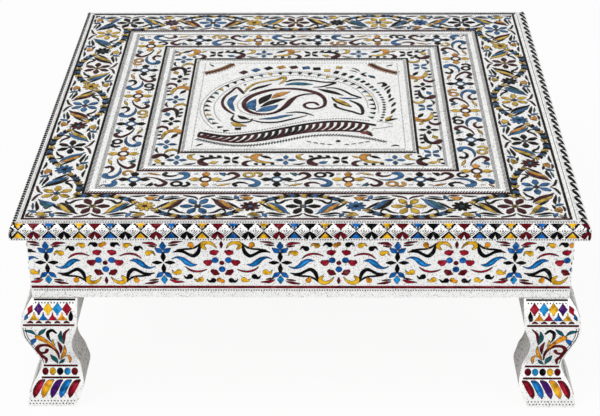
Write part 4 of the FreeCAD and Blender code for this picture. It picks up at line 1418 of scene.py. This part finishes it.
# Half dots under the upper line, and rows of small dots: start, end, spacing and level
HALF_DOT = [leaf("maroon", (-1.6, -76.1, 0.8), (0, -75.5, 1.7), (1.6, -76.1, 0.8))]
LEG_HALF_DOTS = (158.0, 164.2, 170.5, 176.8, 182.6)
LEG_DOT_ROWS = (
    (153.5, 179.5, 2.1, -63.6),
    (157.5, 187.5, 2.3, -140.2),
    (158.6, 188.6, 2.3, -142.4),
)
SMALL_DOT = 0.5
# Lines across the face: tone, start, end, level and width
LEG_LINES = [
    ("maroon", 153.0, 187.6, -77.9, 1.3),
    ("maroon", 155.0, 178.4, -117.2, 1.2),
    ("maroon", 153.8, 180.0, -124.8, 1.0),
    # The black line at the top of the face stands for the apron's scalloped lower edge and is partly painted
    # shadow under it
    ("black", 152.2, 179.8, -61.8, 0.9),
]
# Rows along a line, so that it follows the curve of the leg
LEG_LINE_ROWS = 26
# The outer edge of a leg's face, from its knee to its ankle
LEG_EDGE = [(189.2, -80.0), (188.4, -88.0), (186.0, -95.5), (183.0, -103.5), (180.6, -110.0),
            (179.6, -115.0)]
EDGE_LINE_INSETS = (1.3, 2.9)


def leg_motifs():
    """Everything enamelled on one face of a leg."""
    made = list(LEG_FACE)
    for tone, start, end, level, width in LEG_LINES:
        made.append(long_line(tone, start, end, level, width, LEG_LINE_ROWS))
    made += [sunk_line([(u - inset, v) for u, v in LEG_EDGE], 0.6, 1.2) for inset in EDGE_LINE_INSETS]
    for u in LEG_HALF_DOTS:
        made += moved(HALF_DOT, u)
    for start, end, spacing, level in LEG_DOT_ROWS:
        made += [dot("dark", u, level, SMALL_DOT) for u in np.arange(start, end, spacing)]
    return made


# Operators

class LOWTABLE_OT_finish_frame(bpy.types.Operator):
    """Give every piece of the carried frame its finish"""
    bl_idname = "low_table.finish_frame"
    bl_label = "Finish the frame"

    def execute(self, context):
        wooden = ["top_board"] + ["apron_rail_" + side for side in SIDES]
        wooden += ["leg_" + leg for leg in LEG_SIGNS]
        for name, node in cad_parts.items():
            if name in wooden:
                chosen = "bare_wood"
            elif name in ("board_screws", "frame_nails", "sheet_pins"):
                chosen = "plated_steel"
            # The legs' inner faces and their sides are metal darkened with painted shade
            elif "_inner_" in name and name.startswith("leg_"):
                chosen = "dull_metal"
            elif name.endswith("_side_sheet"):
                chosen = "shaded_metal"
            else:
                chosen = "stippled_metal"
            material = finish(context, chosen)
            for slot in node.material_slots:
                slot.material = material
        return {"FINISHED"}


# Radius of the board's rounded edge
BOARD_ROUNDING = 4.2
# How far the relief of the nose keeps from the corners
NOSE_END = 0.6
# Where the two rows of beads lie on the nose, and how far the upper one follows the zigzag
NOSE_BEADS = (-0.9, 13.4)
BEADS_FOLLOW = 1.8
# How long the beads seen from the side are across the strip
SIDE_BEADS = 0.8
# The dark sunk lines on the flange, painted shade of its flutes, in from its edge: their places, width and
# overlap at the ends
FLANGE_SHADE_LINES = {"front": (1.9, 2.9, 3.9), "right": (2.6, 4.6), "back": (2.6, 4.6), "left": (2.6, 4.6)}
FLANGE_LINE_WIDTH = 0.45
FLANGE_OVERLAP = 1.2


class LOWTABLE_OT_edge_strips(bpy.types.Operator):
    """Make the four edge strips, bent over the board's rounded edge"""
    bl_idname = "low_table.edge_strips"
    bl_label = "Edge strips"

    def execute(self, context):
        for side in SIDES:
            self.make_strip(context, side)
        return {"FINISHED"}

    def make_strip(self, context, side):
        """One edge strip with its zigzag and beads."""
        sizes = context.scene.low_table_sizes
        depth = sizes.ground_depth / MM
        low, high = front_box("edge_strip_" + side, side)
        outer, bottom, top = low[1], low[2], high[2]
        board_low, board_high = front_box("top_board", "front")
        wood, board_top, board_bottom = board_low[1], board_high[2], board_low[2]
        band_low, band_high = front_box("outer_band_sheet_" + side, side)
        flange = band_low[1]
        lip_end = front_box("apron_rail_front", "front")[0][1]
        radius = wood - outer + BOARD_ROUNDING
        bend = outer + radius
        bend_length = radius * math.pi / 2

        def arc(reach, level, angles):
            """Points round the bend, at a reach from its middle."""
            turns = np.radians(angles)
            return list(zip(bend - reach * np.sin(turns), level + reach * np.cos(turns)))

        def ends(v):
            """Both ends of the strip along u, at a place across it."""
            if v <= bend:
                return v, -v
            share = (v - bend) / (flange - bend)
            return bend * (1 - share) + band_low[0] * share, -bend * (1 - share) + band_high[0] * share

        outline = [(flange, top - depth), *arc(radius - depth, top - radius, np.linspace(0, 90, 13))]
        outline += [(outer + depth, bottom), (lip_end, bottom), (lip_end, board_bottom), (wood, board_bottom)]
        outline += arc(BOARD_ROUNDING, board_top - BOARD_ROUNDING, np.linspace(90, 0, 9))
        points, faces = prism([*outline, (flange, board_top)], ends)
        new_piece(
            context, "edge_strip_" + side + "_ground", turned(points, side) * MM, faces,
            "stippled_metal", ["edge_strip_" + side],
        )

        def place(points):
            """Put points in u, s and height on the nose. The s starts at the bend."""
            made = np.empty((len(points), 3))
            for row, (u, s, height) in enumerate(points):
                turn = min(max(s, 0) / radius, math.pi / 2)
                reach = radius - depth + height
                v = bend - reach * math.sin(turn) - min(s, 0)
                down = max(s - bend_length, 0)
                made[row] = (u, v, top - radius + reach * math.cos(turn) - down)
            limit = np.abs(made[:, 1])
            made[:, 0] = np.clip(made[:, 0], -limit, limit)
            return turned(made, side) * MM

        nose_end = outer + NOSE_END
        relief = Relief(context, place, [((nose_end, 0), (1, 0)), ((-nose_end, 0), (-1, 0))])
        relief.add(nose_motifs(outer, -outer, side))
        upper, lower = NOSE_BEADS
        relief.add(bead_row(sizes, bend, -bend, upper + min(NOSE_SHIFTS[side], 0) * BEADS_FOLLOW))
        relief.add(bead_row(sizes, outer + 1, -outer - 1, lower, SIDE_BEADS))
        inner = bend - flange
        start, end = band_low[0] - FLANGE_OVERLAP, band_high[0] + FLANGE_OVERLAP
        if side not in LINED_BANDS:
            relief.add(border_line(sizes, start, end, inner + LINE_INSET), rims=False)
        # Dark lines painted along the flange as the shade of its flutes
        for step in FLANGE_SHADE_LINES[side]:
            relief.add([long_line("dark", start - 1, end + 1, inner + step, FLANGE_LINE_WIDTH)])
        relief.build("edge_strip_" + side)


class BandOperator:
    """What the three band operators share."""
    band = ""
    # Middle and width of each plain flute, of the rope, and of the hatched border inside it
    flutes = ((4.6, 1.8),)
    roped = (1.3, 2.2)
    hatched = (7.2, 2.6)

    def execute(self, context):
        sizes = context.scene.low_table_sizes
        for side in SIDES:
            strip = Strip(context, self.band + "_sheet_" + side, side)
            profile = fluted(strip.depth, self.flutes, sizes.flute_height / MM)
            strip.ground_piece(self.band + "_" + side + "_ground", profile)
            relief = Relief(context, strip.place, strip.cuts(), worn=True)
            relief.add(self.motifs(strip.start, strip.end, side))
            relief.add(self.borders(sizes, strip, side), rims=False)
            relief.build(self.band + "_" + side)
        return {"FINISHED"}

    def borders(self, sizes, strip, side):
        """The painted lines, with rope and hatching where the band has them."""
        tone = "maroon" if side in ("front", "back") and self.band != "inner_band" else "black"
        made = []
        if self.band != "inner_band" or side != LINED_PANEL:
            made += border_line(sizes, strip.start, strip.end, strip.depth - LINE_INSET, tone)
        if self.band == "outer_band" and side in LINED_BANDS:
            made += border_line(sizes, strip.start, strip.end, LINE_INSET, tone)
        if self.roped:
            made += rope(sizes, strip.start, strip.end, *self.roped)
            made += hatching(sizes, strip.start, strip.end, *self.hatched)
        return made


class LOWTABLE_OT_outer_band(BandOperator, bpy.types.Operator):
    """Make the outer band: flowers, daisies and a winding garland"""
    bl_idname = "low_table.outer_band"
    bl_label = "Outer band"
    band = "outer_band"
    flutes = ()
    roped = None
    motifs = staticmethod(outer_band_motifs)


class LOWTABLE_OT_middle_band(BandOperator, bpy.types.Operator):
    """Make the middle band: rings and scrolls"""
    bl_idname = "low_table.middle_band"
    bl_label = "Middle band"
    band = "middle_band"
    motifs = staticmethod(middle_band_motifs)


class LOWTABLE_OT_inner_band(BandOperator, bpy.types.Operator):
    """Make the inner band: stars and commas"""
    bl_idname = "low_table.inner_band"
    bl_label = "Inner band"
    band = "inner_band"
    hatched = (6.6, 2.2)
    motifs = staticmethod(inner_band_motifs)


# The centre panel's rope: how far in it lies, how far from the corners, and its width
ROPE_INSET = 1.5
LINED_ROPE_INSET = 2.9
ROPE_END = 2.5
ROPE_WIDTH = 1.8
PANEL_LINE_END = 0.3


class LOWTABLE_OT_centre_panel(bpy.types.Operator):
    """Make the centre panel with its paisley and ribbon"""
    bl_idname = "low_table.centre_panel"
    bl_label = "Centre panel"

    def execute(self, context):
        sizes = context.scene.low_table_sizes
        (left, front, bottom), (right, back, top) = front_box("centre_panel_sheet", "front")
        ground = top - sizes.ground_depth / MM
        outline = [(front, bottom), (back, bottom), (back, ground), (front, ground)]
        points, faces = prism(outline, lambda v: (left, right))
        new_piece(
            context, "centre_panel_ground", np.array(points) * MM, faces, "smooth_metal",
            ["centre_panel_sheet"],
        )

        def place(points):
            """Put points in u, v and height on the panel."""
            return (np.array(points, float) + (0, 0, ground)) * MM

        relief = Relief(context, place, worn=True)
        relief.add(centre_motifs() + centre_metal(sizes))
        for side in SIDES:
            low, high = front_box("centre_panel_sheet", side)
            inset = ROPE_INSET
            if side == LINED_PANEL:
                inset = LINED_ROPE_INSET
                start, end = low[0] + PANEL_LINE_END, high[0] - PANEL_LINE_END
                relief.add(border_line(sizes, start, end, low[1] + LINE_INSET), rims=False)
            border = rope(sizes, low[0] + ROPE_END, high[0] - ROPE_END, low[1] + inset, ROPE_WIDTH)
            relief.add(moved(border, angle=90 * SIDES.index(side)))
        relief.build("centre_panel")
        return {"FINISHED"}


# How far the relief of an apron keeps from its ends
APRON_END = 0.5


class LOWTABLE_OT_aprons(bpy.types.Operator):
    """Raise the stars, rosettes and leaves of the four aprons"""
    bl_idname = "low_table.aprons"
    bl_label = "Aprons"

    def execute(self, context):
        sizes = context.scene.low_table_sizes
        top = cad_box[1].z / MM
        for side in SIDES:
            face = front_box("apron_sheet_" + side, side)[0][1]

            def place(points, side=side, face=face):
                """Put points in u, v below the top and height on the apron's face."""
                made = np.column_stack([points[:, 0], face - points[:, 2], points[:, 1] + top])
                return turned(made, side) * MM

            edge = -face - APRON_END
            relief = Relief(context, place, [((-edge, 0), (1, 0)), ((edge, 0), (-1, 0))])
            relief.add(apron_motifs(-face))
            relief.add(border_line(sizes, -edge, edge, APRON_LINE, "maroon"), rims=False)
            relief.add(bead_row(sizes, -edge + 1, edge - 1, APRON_BEADS, SIDE_BEADS))
            relief.build("apron_" + side)
        return {"FINISHED"}


# How far from the middle of the table, in metres, the search for a leg's face starts
OUTSIDE = 0.3


class LOWTABLE_OT_legs(bpy.types.Operator):
    """Raise the bands, scrolls and petals on both outer faces of each leg, bare on its side, where the metal
    is darkened with painted shade
    """
    bl_idname = "low_table.legs"
    bl_label = "Legs"

    def execute(self, context):
        motifs = leg_motifs()
        bare = moved(motifs, paint={tone: "bare" for tone in GLARE_DULLED_COLOURS})
        for leg, signs in LEG_SIGNS.items():
            whole = Relief(context, lambda points: points)
            sheets = (("_face_sheet", True, motifs + LEG_PETAL_HIGHLIGHTS), ("_side_sheet", False, bare))
            for sheet, along_x, shown in sheets:
                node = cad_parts["leg_" + leg + sheet]
                surface = BVHTree.FromObject(node, context.evaluated_depsgraph_get())
                relief = Relief(context, self.placer(surface, along_x, *signs))
                relief.add(shown)
                for tone, forms in relief.forms.items():
                    placed = [(relief.place(points), faces) for points, faces in forms]
                    whole.forms.setdefault(tone, []).extend(placed)
            whole.build("leg_" + leg)
        return {"FINISHED"}

    def placer(self, surface, along_x, x_sign, y_sign):
        """Puts points in u, v below the top and height on a curved face of a leg."""
        way = Vector((0, -y_sign, 0)) if along_x else Vector((-x_sign, 0, 0))

        def hit(u, v):
            """Where the face lies behind a place seen square on, and its normal there."""
            x, y = (u * MM, OUTSIDE) if along_x else (OUTSIDE, u * MM)
            start = Vector((x_sign * x, y_sign * y, cad_box[1].z + v * MM))
            return surface.ray_cast(start, way)[:2]

        def place(points):
            made = np.empty((len(points), 3))
            for row, (u, v, height) in enumerate(points):
                inwards = -1 if u > LEG_CENTRE else 1
                for inset in EDGE_INSETS:
                    spot, normal = hit(u + inwards * inset, v)
                    if spot is not None:
                        break
                else:
                    raise RuntimeError(f"a form of the leg lies beside its face at {u:.1f}, {v:.1f}")
                if normal.dot(way) > 0:
                    normal = -normal
                made[row] = spot + normal * height * MM
            return made
        return place


# The stage, in metres and watts
FLOOR_SIZE = 30.0
FLOOR_GAP = 0.0002
WORLD_LIGHT = 0.53
WORLD_SHOWN = 1.0
# Each lamp is its name, place, size and power, and faces the middle of the table
LAMPS = (
    ("window_lamp", (-0.9, -0.6, 1.7), 1.2, 14.2),
    ("fill_lamp", (1.1, -1.4, 1.2), 1.4, 8.0),
)
LAMP_AIM = (0, 0, 0.1)
# The photograph's place and lens: metres, degrees and millimetres
CAMERA_PLACE = (0.0170, -1.0621, 0.6364)
CAMERA_DOWN = 28.74
CAMERA_LEFT = 1.077
CAMERA_ROLL = -0.494
CAMERA_LENS = 92.376
SENSOR_WIDTH = 36.0


class LOWTABLE_OT_stage(bpy.types.Operator):
    """Make the floor, the lamps, the world and the camera"""
    bl_idname = "low_table.stage"
    bl_label = "Stage"

    def execute(self, context):
        scene = context.scene
        self.floor(context)
        self.world(scene)
        for lamp in LAMPS:
            self.lamp(scene, *lamp)
        self.camera(scene)
        scene.view_settings.view_transform = "Standard"
        return {"FINISHED"}

    def floor(self, context):
        """A wide level floor under the feet."""
        mesh = bpy.data.meshes.new("floor")
        form = bmesh.new()
        bmesh.ops.create_grid(form, x_segments=4, y_segments=4, size=FLOOR_SIZE)
        form.to_mesh(mesh)
        form.free()
        mesh.materials.append(finish(context, "pale_floor"))
        floor = bpy.data.objects.new("floor", mesh)
        floor.location = (0, 0, cad_box[0].z - FLOOR_GAP)
        context.scene.collection.objects.link(floor)

    def world(self, scene):
        """Even light, and white where the camera or a reflection sees it."""
        world = bpy.data.worlds.new("studio")
        world.use_nodes = True
        tree = world.node_tree
        tree.nodes.clear()
        rays = add_node(tree, "LightPath", {}).outputs
        mirrored = combined(tree, "MAXIMUM", rays["Is Glossy Ray"], rays["Is Transmission Ray"])
        seen = combined(tree, "MAXIMUM", rays["Is Camera Ray"], mirrored)
        light, shown = [
            add_node(tree, "Background", {"Color": (1, 1, 1, 1), "Strength": strength}).outputs["Background"]
            for strength in (WORLD_LIGHT, WORLD_SHOWN)
        ]
        choice = add_node(tree, "MixShader", {"Fac": seen, 1: light, 2: shown}).outputs["Shader"]
        add_node(tree, "OutputWorld", {"Surface": choice})
        scene.world = world

    def lamp(self, scene, name, place, size, power):
        """A soft square lamp that faces the table."""
        data = bpy.data.lights.new(name, "AREA")
        data.size = size
        data.energy = power
        lamp = bpy.data.objects.new(name, data)
        lamp.location = place
        aim = Vector(LAMP_AIM) - Vector(place)
        lamp.rotation_euler = aim.to_track_quat("-Z", "Y").to_euler()
        scene.collection.objects.link(lamp)

    def camera(self, scene):
        """The photograph's place and lens."""
        down, left, roll = [math.radians(angle) for angle in (CAMERA_DOWN, CAMERA_LEFT, CAMERA_ROLL)]
        turn = Matrix.Rotation(left, 3, "Z")
        right = turn @ Vector((1, 0, 0))
        ahead = turn @ Vector((0, math.cos(down), -math.sin(down)))
        above = turn @ Vector((0, math.sin(down), math.cos(down)))
        across = right * math.cos(roll) + above * math.sin(roll)
        upward = above * math.cos(roll) - right * math.sin(roll)
        data = bpy.data.cameras.new("camera")
        data.lens = CAMERA_LENS
        data.sensor_width = SENSOR_WIDTH
        camera = bpy.data.objects.new("camera", data)
        axes = Matrix((across, upward, -ahead)).transposed().to_4x4()
        camera.matrix_world = Matrix.Translation(CAMERA_PLACE) @ axes
        scene.collection.objects.link(camera)
        scene.camera = camera


class LOWTABLE_PT_panel(bpy.types.Panel):
    """Lists the steps that dress the table"""
    bl_idname = "LOWTABLE_PT_panel"
    bl_label = "Low table"
    bl_space_type = "VIEW_3D"
    bl_region_type = "UI"
    bl_category = "Low table"

    def draw(self, context):
        for operator in OPERATORS:
            self.layout.operator(operator.bl_idname)


OPERATORS = (
    LOWTABLE_OT_finish_frame,
    LOWTABLE_OT_edge_strips,
    LOWTABLE_OT_outer_band,
    LOWTABLE_OT_middle_band,
    LOWTABLE_OT_inner_band,
    LOWTABLE_OT_centre_panel,
    LOWTABLE_OT_aprons,
    LOWTABLE_OT_legs,
    LOWTABLE_OT_stage,
)
CLASSES = (TableReliefSizes, TableFinishes, *OPERATORS, LOWTABLE_PT_panel)


def register():
    """Register the classes and the scene's properties."""
    for part in CLASSES:
        bpy.utils.register_class(part)
    bpy.types.Scene.low_table_sizes = bpy.props.PointerProperty(type=TableReliefSizes)
    bpy.types.Scene.low_table_finishes = bpy.props.PointerProperty(type=TableFinishes)


def unregister():
    """Remove them again."""
    del bpy.types.Scene.low_table_finishes
    del bpy.types.Scene.low_table_sizes
    for part in reversed(CLASSES):
        bpy.utils.unregister_class(part)


def main():
    """Dress the table."""
    register()
    for operator in OPERATORS:
        group, name = operator.bl_idname.split(".")
        getattr(getattr(bpy.ops, group), name)()


if __name__ == "__main__":
    main()
